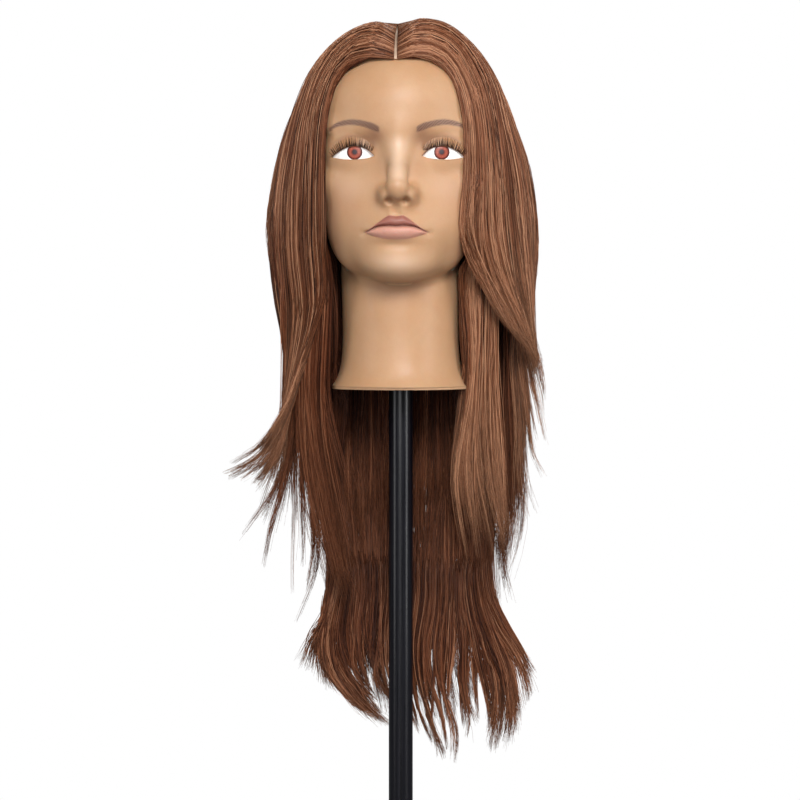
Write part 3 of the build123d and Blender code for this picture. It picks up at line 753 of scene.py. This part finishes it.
def hair(
    name, guides, count, seed, deep, steps=22, late_roots=0.35, trim=0.25, clumps=40, clump=0.5,
    wander=1.6, fly=0.03, gather_from=0.45, sunk=0.0, bend=(0.0, 1.0, 0.0), tone=0.0,
):
    """Strands over the sheet that the guides span, deep millimetres thick towards the inside."""
    rng = np.random.default_rng(seed)
    field = follow(guides, FINE)
    inwards = facing_in(field)
    t = np.linspace(0, 1, FINE)
    body = np.minimum(ease(0.0, 0.16, t), 1.0) * (1 - 0.35 * ease(0.7, 1.0, t))
    span = len(field) - 1
    centres = rng.uniform(0, span, clumps)
    centre_deep = rng.uniform(0, 1, clumps)
    where = (np.arange(count) + rng.uniform(0, 1, count)) / count * span
    depth = rng.uniform(0, 1, count) ** 1.1
    belong = np.abs(where[:, None] - centres[None] + rng.normal(0, 0.12, (count, clumps))).argmin(1)
    stops = rng.uniform(0, 1, clumps)[belong]
    reach = 1 - trim * (0.7 * stops + 0.3 * rng.uniform(0, 1, count) ** 1.6)
    begin = np.where(rng.uniform(0, 1, count) < late_roots, rng.uniform(0.02, 0.42, count), 0.0)
    depth = np.where(begin > 0, np.maximum(depth, 0.35), depth)

    def lay(position, depths):
        sink = (sunk + deep * depths)[:, None, None] * body[None, :, None]
        return between(field, position) + between(inwards, position) * sink

    ends = (1 - 0.7 * trim * stops)[:, None]
    gather = clump * ease(gather_from, 1.0, t[None] / ends)[..., None]
    lines = lay(where, depth) * (1 - gather) + lay(centres, centre_deep)[belong] * gather
    side = between(np.gradient(field, axis=0), where)
    side /= np.linalg.norm(side, axis=-1, keepdims=True) + 1e-9
    sway = side * lock_push(rng, t, belong, clumps, wander, 1.0)[..., None]
    swing = np.sin(2 * math.pi * bend[1] * t[None] + bend[2] + 0.25 * where[:, None])
    sway[..., 0] += bend[0] * swing * ease(0.35, 0.6, t)[None]
    sway += side * lock_push(rng, t, belong, clumps, wander, 2.3)[..., None]
    fan = add_frizz(rng, t, sway, fly)
    lines = lines + sway + fan
    share = np.linspace(0, 1, steps)[None] * (reach - begin)[:, None] + begin[:, None]
    spot = share * (FINE - 1)
    i = np.clip(spot.astype(int), 0, FINE - 2)
    f = (spot - i)[..., None]
    rows = np.arange(count)[:, None]
    curves = clear_of_head(lines[rows, i] * (1 - f) + lines[rows, i + 1] * f)
    taper = np.linspace(0, 1, steps)[None]
    size = STRAND_WIDTH * rng.uniform(0.75, 1.25, (count, 1))
    widths = size * (1 - 0.72 * ease(0.72, 1.0, taper)) * (0.7 + 0.3 * ease(0, 0.08, taper))
    columns = strand_tints(rng, where, span, belong, clumps, depth, tone)
    return strand_mesh(name, curves, between(inwards, where)[rows, i], widths, columns, begin, reach)


# ------------------------------------------------------------------ guides: (x, y, height)
def mirrored(lines):
    return [[(-x, y, h) for x, y, h in line] for line in lines]


# The crown: from the parting, over the skull and down the side, from the face's edge to the nape.
LEFT_CROWN = [
    [(-3.2, -76, 255), (-15, -78, 257), (-28, -77, 257), (-39, -75, 253), (-48, -74, 243), (-54, -73, 227),
     (-57.5, -72, 207), (-59, -71, 184), (-59.5, -69, 160), (-60, -65, 135), (-60, -58, 111),
     (-58.5, -52, 89)],
    [(-3.1, -69, 266), (-17, -70, 273), (-33, -67, 271), (-48, -61, 260), (-58, -57, 244), (-65, -56, 226),
     (-69, -55, 206), (-71, -54, 183), (-72.5, -52, 158), (-73, -50, 133), (-73, -48, 110), (-71, -46, 88)],
    [(-2.9, -55, 275), (-18, -52, 283), (-36, -47, 279), (-53, -41, 267), (-66, -38, 249), (-74, -37, 228),
     (-80, -37, 206), (-84, -37, 181), (-87, -36, 156), (-88, -35, 131), (-88, -34, 108), (-86, -33, 86)],
    [(-2.6, -30, 281), (-19, -25, 287.5), (-40, -18, 281), (-58, -13, 267), (-71, -11, 249), (-80, -11, 228),
     (-87, -11, 206), (-93, -12, 181), (-97, -13, 156), (-99, -14, 131), (-98, -15, 108), (-96, -16, 86)],
    [(-2, -5, 283), (-19, 0, 289), (-43, 6, 279), (-62, 10, 262), (-76, 12, 242), (-84, 12, 222),
     (-92, 12, 204), (-99, 11, 180), (-104, 10, 156), (-107, 8, 131), (-105.5, 5, 108), (-103, 2, 86)],
    [(-2, 20, 283.5), (-18, 30, 288.5), (-38, 42, 281), (-58, 50, 264), (-70, 56, 244), (-78, 58, 222),
     (-85, 60, 204), (-90, 60, 180), (-94, 58, 156), (-96, 56, 131), (-95, 54, 108), (-93, 52, 86)],
    [(-1, 50, 279), (-14, 62, 282), (-30, 75, 272), (-44, 84, 255), (-54, 90, 236), (-60, 92, 216),
     (-64, 93, 198), (-67, 92, 178), (-68, 90, 155), (-69, 87, 131), (-69, 84, 108), (-68, 81, 86)],
    [(0, 72, 265), (-5, 86, 262), (-10, 95, 250), (-14, 101, 233), (-17, 105, 215), (-19, 106, 200),
     (-20, 106, 186), (-21, 104, 170), (-22, 101, 152), (-22, 98, 131), (-22, 95, 108), (-22, 92, 86)],
]
RIGHT_CROWN = [
    [(-0.9, -76, 255), (11, -78, 258), (22, -77, 258), (33, -75, 253), (42, -74, 242), (48, -74, 226),
     (51, -74, 208), (51.5, -73, 186), (51, -72, 160), (48.5, -71, 140), (47.5, -69, 127), (50, -64, 113)],
    [(-0.9, -69, 266), (13, -71, 273), (29, -68, 272), (43, -63, 263), (53, -59, 247), (60, -57, 229),
     (64, -56, 209), (66, -55, 186), (67, -54, 160), (66.5, -53, 138), (68, -51, 116), (73, -47, 96)],
    [(-1.1, -55, 275), (14, -53, 284.5), (32, -48, 284), (49, -42, 273), (62, -38, 256), (71, -37, 236),
     (76, -37, 213), (80, -37, 187), (83, -36, 160), (85, -35, 136), (88, -34, 112), (92, -31, 90)],
    [(-1.4, -30, 281), (15, -26, 289.5), (36, -19, 287), (55, -14, 273), (69, -11, 255), (79, -11, 234),
     (85, -11, 211), (92, -12, 187), (97, -13, 162), (100, -14, 137), (102, -15, 112), (104, -16, 90)],
    [(-2, -5, 283), (16, 0, 291.5), (40, 6, 284), (60, 10, 265), (76, 12, 243), (86, 12, 221),
     (94, 12, 200), (101, 11, 178), (105, 10, 156), (108, 8, 132), (108, 5, 108), (107, 2, 86)],
    [(-1, 20, 283.5), (16, 30, 289), (37, 42, 283), (57, 50, 266), (70, 56, 246), (79, 58, 224),
     (86, 60, 205), (92, 60, 180), (96, 58, 156), (98, 56, 131), (98, 54, 108), (96, 52, 86)],
] + mirrored(LEFT_CROWN[6:])


def joined(crown, picks, lowers, drop=0):
    """Guides that run down the crown's picked lines, less their last drop points, and go on below."""
    lines = np.array(crown, float)
    out = []
    for pick, lower in zip(picks, lowers):
        i = min(int(pick), len(lines) - 2)
        upper = lines[i] * (1 - (pick - i)) + lines[i + 1] * (pick - i)
        out.append(np.concatenate([upper[: len(upper) - drop], np.array(lower, float)]))
    return out


def clear_of_head(curves):
    """Strands pushed out to the head's surface wherever they would run inside it."""
    flat = curves.reshape(-1, 3)
    room = 1.0 + 2.6 * ease(-66, -48, flat[:, 1])
    for _ in range(2):
        d = head_distance(flat)
        low = np.nonzero((d < room) & (flat[:, 2] > 1))[0]
        points = flat[low]
        slope = np.stack([head_distance(points + step) - d[low] for step in np.eye(3) * 0.5], 1)
        slope /= np.linalg.norm(slope, axis=1, keepdims=True) + 1e-9
        flat[low] = points + slope * (room[low] - d[low])[:, None]
    return flat.reshape(curves.shape)


FLICK_LEFT = [
    [(-60, -46, 68), (-66, -40, 50), (-74, -32, 30), (-84, -26, 8),
     (-95, -18, -16), (-108, -12, -38), (-126, -10, -54), (-150, -8, -64)],
    [(-70, -42, 66), (-73, -36, 48), (-79, -30, 28), (-86, -24, 6),
     (-94, -16, -20), (-105, -12, -44), (-121, -10, -60), (-143, -8, -71)],
    [(-84, -30, 66), (-85, -26, 48), (-87, -22, 28), (-90, -18, 6),
     (-95, -12, -20), (-103, -10, -46), (-116, -8, -64), (-134, -8, -77)],
    [(-94, -16, 66), (-92, -14, 48), (-91, -14, 28), (-91, -12, 6),
     (-94, -10, -20), (-99, -8, -46), (-108, -6, -66), (-122, -6, -82)],
    [(-100, 0, 66), (-96, 0, 47), (-93, -2, 29), (-93, -3, 10),
     (-94, -4, -10), (-96, -4, -34), (-100, -4, -58), (-106, -4, -80)],
]
FRONT_LOCK_LEFT = [
    [(-60, -44, 66), (-62, -38, 40), (-64, -30, 10), (-64, -20, -25),
     (-60, -10, -62), (-53, 0, -100), (-45, 10, -135), (-36, 20, -172)],
    [(-72, -38, 66), (-74, -32, 40), (-77, -24, 10), (-77, -14, -25),
     (-74, -4, -62), (-67, 6, -100), (-58, 14, -135), (-47, 22, -176)],
    [(-84, -28, 66), (-82, -24, 40), (-84, -18, 10), (-86, -10, -25),
     (-84, 0, -62), (-78, 8, -100), (-70, 16, -135), (-60, 24, -172)],
]
SIDE_LEFT = [
    [(-94, -26, 66), (-96, -20, 40), (-98, -14, 10), (-99, -4, -22),
     (-101, 4, -55), (-109, 8, -88), (-121, 10, -116), (-135, 12, -140)],
    [(-95, -12, 66), (-95, -8, 40), (-95, -2, 10), (-96, 4, -22),
     (-97, 10, -55), (-100, 14, -90), (-105, 16, -124), (-107, 18, -162)],
    [(-98, 6, 66), (-94, 10, 40), (-92, 14, 10), (-92, 18, -22),
     (-93, 22, -55), (-90, 26, -92), (-88, 28, -130), (-86, 30, -170)],
    [(-90, 40, 66), (-86, 42, 38), (-83, 44, 8), (-82, 44, -25),
     (-79, 44, -60), (-75, 44, -98), (-72, 44, -138), (-84, 44, -180)],
    [(-84, 54, 66), (-80, 54, 38), (-78, 54, 8), (-77, 53, -25),
     (-74, 52, -60), (-70, 52, -100), (-67, 50, -150), (-90, 50, -200)],
]
BACK_LEFT = [
    [(-86, 54, 62), (-81, 54, 30), (-79, 54, -10), (-76, 53, -55),
     (-71, 52, -100), (-66, 51, -140), (-66, 50, -180), (-76, 50, -222)],
    [(-67, 76, 62), (-64, 72, 30), (-62, 69, -10), (-60, 66, -58),
     (-56, 63, -104), (-51, 60, -148), (-51, 58, -194), (-58, 56, -240)],
    [(-45, 82, 62), (-43, 78, 30), (-41, 75, -10), (-40, 72, -58),
     (-37, 68, -106), (-34, 64, -152), (-36, 61, -202), (-34, 58, -254)],
    [(-22, 88, 62), (-22, 84, 30), (-21, 80, -10), (-20, 76, -58),
     (-18, 72, -108), (-16, 67, -156), (-20, 63, -208), (-10, 60, -266)],
]
PANEL_RIGHT = [
    [(52, -32, 86), (54, -30, 60), (58, -27, 30), (58, -22, -2),
     (53, -17, -36), (49, -12, -68), (53, -4, -102), (59, 4, -142)],
    [(67, -30, 86), (68, -28, 60), (68, -26, 30), (67, -22, -2),
     (66, -16, -36), (67, -10, -68), (71, -2, -102), (76, 6, -146)],
    [(82, -24, 86), (83, -22, 60), (83, -20, 30), (84, -17, -2),
     (86, -12, -36), (89, -6, -66), (93, 0, -94), (99, 4, -122)],
]
SWEEP_RIGHT = [
    [(56, -52, 98), (64, -47, 84), (73, -42, 70), (82, -38, 57),
     (91, -34, 46), (99, -31, 36), (105, -29, 27), (109, -27, 18)],
    [(79, -43, 81), (85, -40, 68), (91, -37, 57), (96, -34, 47),
     (101, -31, 38), (105, -29, 30), (108, -27, 22), (110, -25, 14)],
    [(95, -29, 76), (98, -27, 65), (101, -25, 54), (103, -23, 44),
     (105, -22, 36), (107, -21, 28), (108, -20, 20), (109, -19, 12)],
    [(105, -15, 76), (105.5, -14, 64), (106, -14, 53), (106.5, -13, 43),
     (107, -12, 34), (107.5, -12, 26), (108, -11, 18), (107, -10, 10)],
    [(106, 2, 74), (105, 2, 62), (105, 2, 51), (105.5, 2, 41),
     (106, 2, 32), (106, 2, 24), (106, 2, 16), (105, 2, 8)],
]
LAYER_RIGHT = [
    [(105, 2, 76), (106, 2, 62), (108, 2, 50), (112, 1, 39),
     (116, 0, 28), (119, 0, 17), (119, 0, 5), (115, 0, -8)],
    [(102, 6, 74), (101, 6, 52), (101, 6, 30), (104, 6, 8),
     (107, 5, -14), (108, 4, -36), (111, 2, -60), (122, 0, -81)],
    [(97, 12, 74), (95, 12, 48), (94, 12, 20), (97, 11, -6),
     (99, 10, -32), (98, 9, -60), (98, 8, -88), (100, 6, -117)],
]
SIDE_RIGHT = [
    [(97, 20, 66), (99, 20, 40), (102, 20, 10), (103, 20, -22),
     (103, 20, -55), (102, 20, -88), (97, 20, -116), (84, 22, -146)],
    [(93, 36, 66), (93, 36, 38), (94, 36, 8), (93, 38, -25),
     (92, 40, -58), (88, 42, -94), (82, 44, -130), (80, 44, -166)],
    [(84, 54, 66), (80, 54, 38), (78, 54, 8), (77, 53, -25),
     (77, 52, -60), (77, 52, -100), (80, 50, -142), (92, 48, -186)],
]
BACK_RIGHT = [
    [(22, 88, 62), (22, 84, 30), (21, 80, -10), (20, 76, -58),
     (20, 72, -108), (20, 67, -158), (18, 63, -214), (34, 60, -276)],
    [(45, 82, 62), (43, 78, 30), (41, 75, -10), (40, 72, -58),
     (39, 68, -108), (39, 64, -156), (39, 61, -208), (52, 58, -268)],
    [(67, 76, 62), (64, 72, 30), (62, 69, -10), (61, 66, -58),
     (60, 63, -106), (61, 60, -150), (66, 58, -196), (82, 56, -244)],
    [(86, 54, 62), (81, 54, 30), (80, 54, -10), (79, 53, -55),
     (77, 52, -100), (77, 51, -140), (84, 50, -176), (100, 50, -206)],
]
NECK_LEFT = [
    [(-62, -16, 150), (-59, -12, 110), (-53, -8, 70), (-52, -2, 30),
     (-54, 8, -5), (-57, 20, -40), (-58, 30, -80), (-56, 40, -125)],
    [(-66, 6, 150), (-64, 8, 110), (-60, 12, 70), (-58, 18, 30),
     (-58, 24, -5), (-60, 32, -40), (-60, 38, -80), (-58, 44, -125)],
    [(-66, 36, 150), (-63, 38, 110), (-58, 40, 70), (-56, 44, 30),
     (-55, 48, -5), (-54, 50, -40), (-54, 52, -80), (-52, 54, -125)],
]
NECK_RIGHT = mirrored(NECK_LEFT)
NECK_MIDDLE = [
    [(x, 60, 150), (x, 62, 110), (x, 62, 70), (x, 61, 30),
     (x, 60, -5), (x, 59, -40), (x, 58, -80), (x, 57, -130)]
    for x in (-60, -30, 0, 30, 60)
]

TIPS = [
    [(-68, 56, -120), (-66, 56, -150), (-70, 55, -178), (-80, 54, -196), (-92, 53, -208), (-103, 52, -216)],
    [(-62, 58, -120), (-62, 57, -155), (-71, 56, -192), (-71, 56, -219), (-57, 56, -243), (-26, 57, -268)],
    [(-54, 60, -120), (-54, 59, -158), (-59, 58, -194), (-54, 57, -221), (-38, 57, -243), (-8, 58, -274)],
    [(-44, 62, -120), (-42, 61, -160), (-45, 59, -195), (-43, 58, -222), (-30, 58, -244), (-7, 59, -270)],
    [(-32, 64, -120), (-32, 63, -162), (-35, 61, -195), (-33, 60, -219), (-25, 59, -240), (-8, 59, -264)],
    [(-18, 66, -120), (-17, 65, -162), (-19, 63, -195), (-17, 61, -225), (-10, 60, -246), (-2, 59, -268)],
    [(0, 67, -120), (2, 65, -164), (0, 63, -200), (0, 61, -230), (6, 60, -258), (16, 59, -286)],
    [(17, 66, -120), (18, 65, -168), (12, 63, -204), (13, 61, -235), (21, 60, -265), (34, 59, -302)],
    [(31, 65, -120), (32, 64, -168), (27, 62, -204), (27, 60, -235), (33, 59, -266), (41, 58, -303)],
    [(45, 63, -120), (46, 62, -168), (43, 60, -204), (41, 59, -235), (44, 58, -268), (52, 57, -306)],
    [(56, 62, -120), (57, 61, -168), (64, 59, -204), (71, 58, -236), (72, 57, -264), (68, 56, -292)],
    [(66, 60, -120), (69, 58, -168), (80, 56, -204), (90, 55, -234), (92, 54, -264), (88, 54, -294)],
    [(76, 56, -120), (80, 55, -160), (92, 54, -190), (106, 53, -212), (115, 52, -228), (122, 52, -244)],
]


# ------------------------------------------------------------------ the lashes
def build_lashes(name, side, seed):
    """Upper lashes: rooted along the lid's edge, sweeping forwards and up, fanned at both ends."""
    rng = np.random.default_rng(seed)
    tufts, each, steps = LASH_TUFTS, LASHES_EACH, 9
    tuft = np.repeat((np.arange(tufts) + rng.uniform(0.2, 0.8, tufts)) / tufts, each)
    count = tufts * each
    share = np.clip(tuft + rng.normal(0, 0.009, count), 0, 1)
    first_x, reach = EYE_INNER + 1.8, EYE_OUTER - EYE_INNER - 2.2
    ax, tip_x = first_x + share * reach, first_x + tuft * reach
    root_h = upper_lid(ax) + 0.25
    root_y = dome_y(ax, root_h) - LASH_AHEAD
    long = (4.6 + 3.1 * np.sin(np.pi * np.clip(tuft * 0.92, 0, 1)) ** 0.7) * rng.uniform(0.82, 1.06, count)
    fan = np.interp(tuft, [0, 0.3, 0.7, 1], [-0.55, -0.12, 0.28, 0.86])
    fan += np.repeat(rng.normal(0, 0.06, tufts), each)
    t = np.linspace(0, 1, steps)[None]
    rise = long[:, None] * (0.25 * t + 0.75 * t**1.7)
    ahead = long[:, None] * 0.52 * np.sin(t * 2.0)
    x = ax[:, None] * (1 - t) + tip_x[:, None] * t + rise * fan[:, None] * 0.75
    y = root_y[:, None] - ahead
    z = root_h[:, None] + rise * np.cos(fan)[:, None]
    curves = np.stack([side * x, y, z], -1)
    facing = np.tile([1.0, 0.3, 0.0], (count, steps, 1))
    widths = (0.34 * (1 - 0.75 * t)) * rng.uniform(0.8, 1.2, (count, 1))
    columns = rng.integers(0, TINTS, count)
    return strand_mesh(name, curves, facing, widths, columns, np.zeros(count), np.ones(count))


# ------------------------------------------------------------------ putting it together
def dress(obj, material, body, slot, *nodes):
    """Gives a built piece its material and its body, and lets it stand for CAD nodes."""
    obj.data.materials.clear()
    obj.data.materials.append(material)
    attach(obj, body)
    if nodes:
        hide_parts(*nodes)


def paint_node(node, material):
    """Gives a CAD node its material."""
    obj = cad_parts[node]
    obj.data.materials.clear()
    obj.data.materials.append(material)


dress(build_head(), skin_material(), "head", "vinyl_skin", "head_shell")
paint_node("scalp_cap", scalp_material())
white, iris = eye_white_material(), iris_material()
pupil = plain_material("pupil_ink", srgb(38, 24, 28), srgb(58, 38, 44), 0.4)
lash = hair_material("lash_fibre", srgb(30, 16, 14), srgb(48, 26, 20), srgb(76, 44, 34))
for side, way in (("left", -1), ("right", 1)):
    paint_node("eye_" + side, white)
    paint_node("iris_" + side, iris)
    paint_node("pupil_" + side, pupil)
    dress(build_lashes("lashes_" + side, way, 5 + way), lash, "head", "lash", "eyelash_" + side)

foam = plain_material("foam_fill", srgb(214, 204, 180), srgb(230, 220, 196), 0.9, 120.0)
base_plastic = plain_material("base_plastic", srgb(205, 160, 120), srgb(218, 174, 134), 0.5, 70.0)
socket_plastic = plain_material("socket_plastic", srgb(30, 29, 31), srgb(44, 43, 46), 0.45, 70.0)
nylon = plain_material("nylon", srgb(20, 20, 22), srgb(34, 34, 37), 0.42, 80.0)
rubber = plain_material("o_ring_rubber", srgb(16, 16, 17), srgb(26, 26, 27), 0.7, 150.0)
steel = plain_material("screw_steel", srgb(168, 168, 172), srgb(196, 196, 200), 0.32, 200.0, metallic=1.0)
enamel = pole_material()
for node, material, slot in (
    ("foam_core", foam, "foam"),
    ("neck_base_plate", base_plastic, "base_plastic"),
    ("socket_tube", socket_plastic, "socket_plastic"),
    ("socket_cap", socket_plastic, "socket_plastic"),
    ("swivel_adaptor", nylon, "nylon"),
    ("pole_foot_plug", nylon, "nylon"),
    ("pole_top_plug", nylon, "nylon"),
    ("adaptor_o_rings", rubber, "o_ring"),
    ("swivel_washer", steel, "steel"),
    ("swivel_screw", steel, "steel"),
    ("base_screws", steel, "steel"),
    ("pole", enamel, "black_enamel"),
):
    paint_node(node, material)

# The hair is one colour; these are lit and shaded copies of it: the darker ones for the sides, the back and
# the sheets by the neck are painted shade, and the ends carry painted shade over their first half.
brown = hair_material("hair_brown", srgb(48, 24, 13), srgb(142, 84, 54), srgb(222, 165, 127), 0.42, 0.1, 0.2)
lower = hair_material("hair_lower_shaded", srgb(54, 23, 9), srgb(118, 64, 38), srgb(184, 122, 88), 0.46)
ends = hair_material("hair_ends", srgb(60, 27, 13), srgb(138, 80, 50), srgb(206, 146, 110), 0.46, 0.55, 0.8)
under = hair_material("hair_under_shaded", srgb(40, 18, 10), srgb(78, 40, 24), srgb(112, 66, 44), 0.5)


def grow(name, guides, count, seed, deep, material, nodes, **settings):
    dress(hair(name, guides, count, seed, deep, **settings), material, "head", "hair", *nodes)


# Some sheets get a tone: painted light on the right panel and the back sheets, painted shade on the left
# flick and the right side.
TOP = {"trim": 0.45, "clumps": 60, "clump": 0.15}
BACK = {"trim": 0.2, "clumps": 60, "wander": 2.2}
NECK = {"steps": 14, "late_roots": 0.0, "clump": 0.2}
L, R = LEFT_CROWN, RIGHT_CROWN
grow("crown_left_a", L[:5], 1500, 1, 7, brown, ["hair_crown_left"], **TOP)
grow("crown_left_b", L[2:7], 1400, 2, 9, brown, ["hair_crown_left"], **TOP)
grow("crown_right_a", R[:5], 1500, 3, 7, brown, ["hair_crown_right"], **TOP)
grow("crown_right_b", R[2:7], 1400, 4, 9, brown, ["hair_crown_right"], **TOP)
grow("crown_back", L[5:] + R[:4:-1], 1500, 5, 9, brown, ["hair_crown_back"], **TOP)

grow("front_left_flick", joined(L, range(5), FLICK_LEFT), 1500, 6, 9, brown, ["hair_front_left"],
     trim=0.16, clumps=46, clump=0.5, late_roots=0.2, fly=0.06, wander=1.6, tone=-0.1)
grow("front_left_lock", joined(L, (0, 1, 2), FRONT_LOCK_LEFT), 1100, 7, 12, lower, ["hair_front_left"],
     trim=0.3, clumps=50, clump=0.35, late_roots=0.2, sunk=3)
grow("side_left", joined(L, (2.4, 3.2, 4.1, 4.7, 5.2), SIDE_LEFT), 1500, 8, 12, lower, ["hair_side_left"],
     trim=0.4, clumps=60, clump=0.75, fly=0.06, wander=2.4, bend=(4.0, 1.6, 0.6))
grow("back_left", joined(L, (5.2, 5.8, 6.4, 7), BACK_LEFT), 1500, 9, 16, lower, ["hair_back_left"],
     clump=0.6, fly=0.05, bend=(3.0, 1.6, 0.0), tone=0.08, **BACK)
grow("neck_left", NECK_LEFT, 900, 10, 14, under, ["hair_back_left"], trim=0.3, **NECK)

grow("front_right_sweep", joined(R, range(5), SWEEP_RIGHT), 1500, 11, 9, brown, ["hair_front_right"],
     trim=0.14, clumps=60, clump=0.5, late_roots=0.2)
grow("panel_right", joined(R, (0.3, 1.2, 2.2), PANEL_RIGHT, drop=2), 1300, 12, 12, brown,
     ["hair_panel_right"], trim=0.3, clumps=50, clump=0.4, late_roots=0.2, sunk=6, tone=0.15)
grow("layer_right", joined(R, (3.8, 4.1, 4.5), LAYER_RIGHT), 1300, 13, 10, brown, ["hair_layer_right"],
     trim=0.4, clumps=50, clump=0.75, fly=0.06, wander=2.2, bend=(2.5, 1.6, 2.0))
grow("side_right", joined(R, (4.2, 4.7, 5.2), SIDE_RIGHT), 1400, 14, 14, lower, ["hair_side_right"],
     trim=0.3, clumps=60, clump=0.7, fly=0.06, wander=2.4, bend=(4.0, 1.6, 3.6), tone=-0.05)
grow("back_right", joined(R, (7, 6.4, 5.8, 5.2), BACK_RIGHT), 1500, 15, 16, lower, ["hair_back_right"],
     clump=0.6, fly=0.05, bend=(3.0, 1.6, 0.0), tone=0.08, **BACK)
grow("neck_right", NECK_RIGHT, 900, 16, 14, under, ["hair_back_right"], trim=0.3, **NECK)
middle = BACK_LEFT[2:] + BACK_RIGHT[:2]
grow("back_middle", joined([L[6], L[7], R[7], R[6]], (0.6, 1, 2, 2.4), middle), 1500, 17, 18, lower,
     ["hair_back_middle"], clump=0.5, fly=0.04, bend=(3.0, 1.6, 0.8), **BACK)
grow("neck_middle", NECK_MIDDLE, 1200, 18, 8, lower, ["hair_back_middle"], trim=0.2, **NECK)
for index in range(6):
    outer = index in (0, 5)
    trim, clump, fly = (0.3, 0.5, 0.3) if outer else (0.5, 0.8, 0.16)
    grow(f"tips_{index + 1}", TIPS[2 * index : 2 * index + 3], 760, 21 + index, 12, ends,
         [f"hair_tips_{index + 1}"], steps=14, sunk=5, late_roots=1.0, trim=trim, clumps=16, clump=clump,
         fly=fly, wander=2.0, gather_from=0.3)


# ------------------------------------------------------------------ stage, light and camera
def mix_by_camera(tree, other, seen, mix_output):
    """Joins two shaders: seen where the camera looks at them, other for all other light."""
    path = tree.nodes.new("ShaderNodeLightPath")
    mix = tree.nodes.new("ShaderNodeMixShader")
    tree.links.new(path.outputs["Is Camera Ray"], mix.inputs[0])
    tree.links.new(other.outputs[0], mix.inputs[1])
    tree.links.new(seen.outputs[0], mix.inputs[2])
    tree.links.new(mix.outputs[0], mix_output.inputs[0])


def stage_material():
    """A white studio sweep: plain white where it is seen, a mild reflector otherwise."""
    mat = bpy.data.materials.new("studio_white")
    mat.use_nodes = True
    tree = mat.node_tree
    tree.nodes.clear()
    out = tree.nodes.new("ShaderNodeOutputMaterial")
    glow = tree.nodes.new("ShaderNodeEmission")
    cloth = tree.nodes.new("ShaderNodeBsdfDiffuse")
    cloth.inputs["Color"].default_value = (0.2, 0.2, 0.21, 1)
    mix_by_camera(tree, cloth, glow, out)
    return mat


def add_floor():
    """The floor lies half a millimetre below the foot of the pole."""
    size = 9.0
    corners = [(x * size, y * size, -0.0005) for x, y in ((-1, -1), (1, -1), (1, 1), (-1, 1))]
    floor = new_mesh("studio_floor", np.array(corners), [[0, 1, 2, 3]], smooth=False)
    floor.data.materials.append(stage_material())


def add_sky(tree, strength):
    sky = tree.nodes.new("ShaderNodeBackground")
    sky.inputs["Color"].default_value = (1, 1, 1, 1)
    sky.inputs["Strength"].default_value = strength
    return sky


def add_world():
    """White behind the part, and only a dim sky on it."""
    world = bpy.data.worlds.new("studio")
    bpy.context.scene.world = world
    world.use_nodes = True
    tree = world.node_tree
    tree.nodes.clear()
    out = tree.nodes.new("ShaderNodeOutputWorld")
    mix_by_camera(tree, add_sky(tree, 0.15), add_sky(tree, 1.0), out)


def add_softbox(name, azimuth, distance, height, wide, tall, watts):
    """An area light; azimuth 0 is in front of the face, and it grows towards +X."""
    light = bpy.data.lights.new(name, "AREA")
    light.shape = "RECTANGLE"
    light.size, light.size_y = wide, tall
    light.energy = watts
    obj = bpy.data.objects.new(name, light)
    turn = math.radians(azimuth)
    obj.location = (distance * math.sin(turn), -distance * math.cos(turn), height)
    obj.rotation_euler = (Vector((0, 0, 0.5)) - obj.location).to_track_quat("-Z", "Y").to_euler()
    bpy.context.scene.collection.objects.link(obj)


def add_camera():
    data = bpy.data.cameras.new("front")
    data.sensor_width = 36.0
    data.lens = 170.9
    data.dof.use_dof = False
    cam = bpy.data.objects.new("front", data)
    cam.location = (0.078, -2.999, 0.454)
    target = Vector((-0.0006, 0.0, 0.371))
    cam.rotation_euler = (target - cam.location).to_track_quat("-Z", "Y").to_euler()
    bpy.context.scene.collection.objects.link(cam)
    bpy.context.scene.camera = cam


add_floor()
add_world()
add_softbox("key", 8, 2.6, 1.7, 0.8, 0.8, 55)
add_softbox("fill", -6, 3.0, 0.8, 1.2, 1.2, 17)
add_softbox("left", -60, 2.0, 0.5, 0.5, 1.4, 7)
add_softbox("right", 60, 2.0, 0.8, 0.5, 1.6, 14)
add_softbox("back", 180, 2.4, 1.4, 1.8, 1.4, 34)
add_camera()
bpy.context.scene.view_settings.view_transform = "Standard"
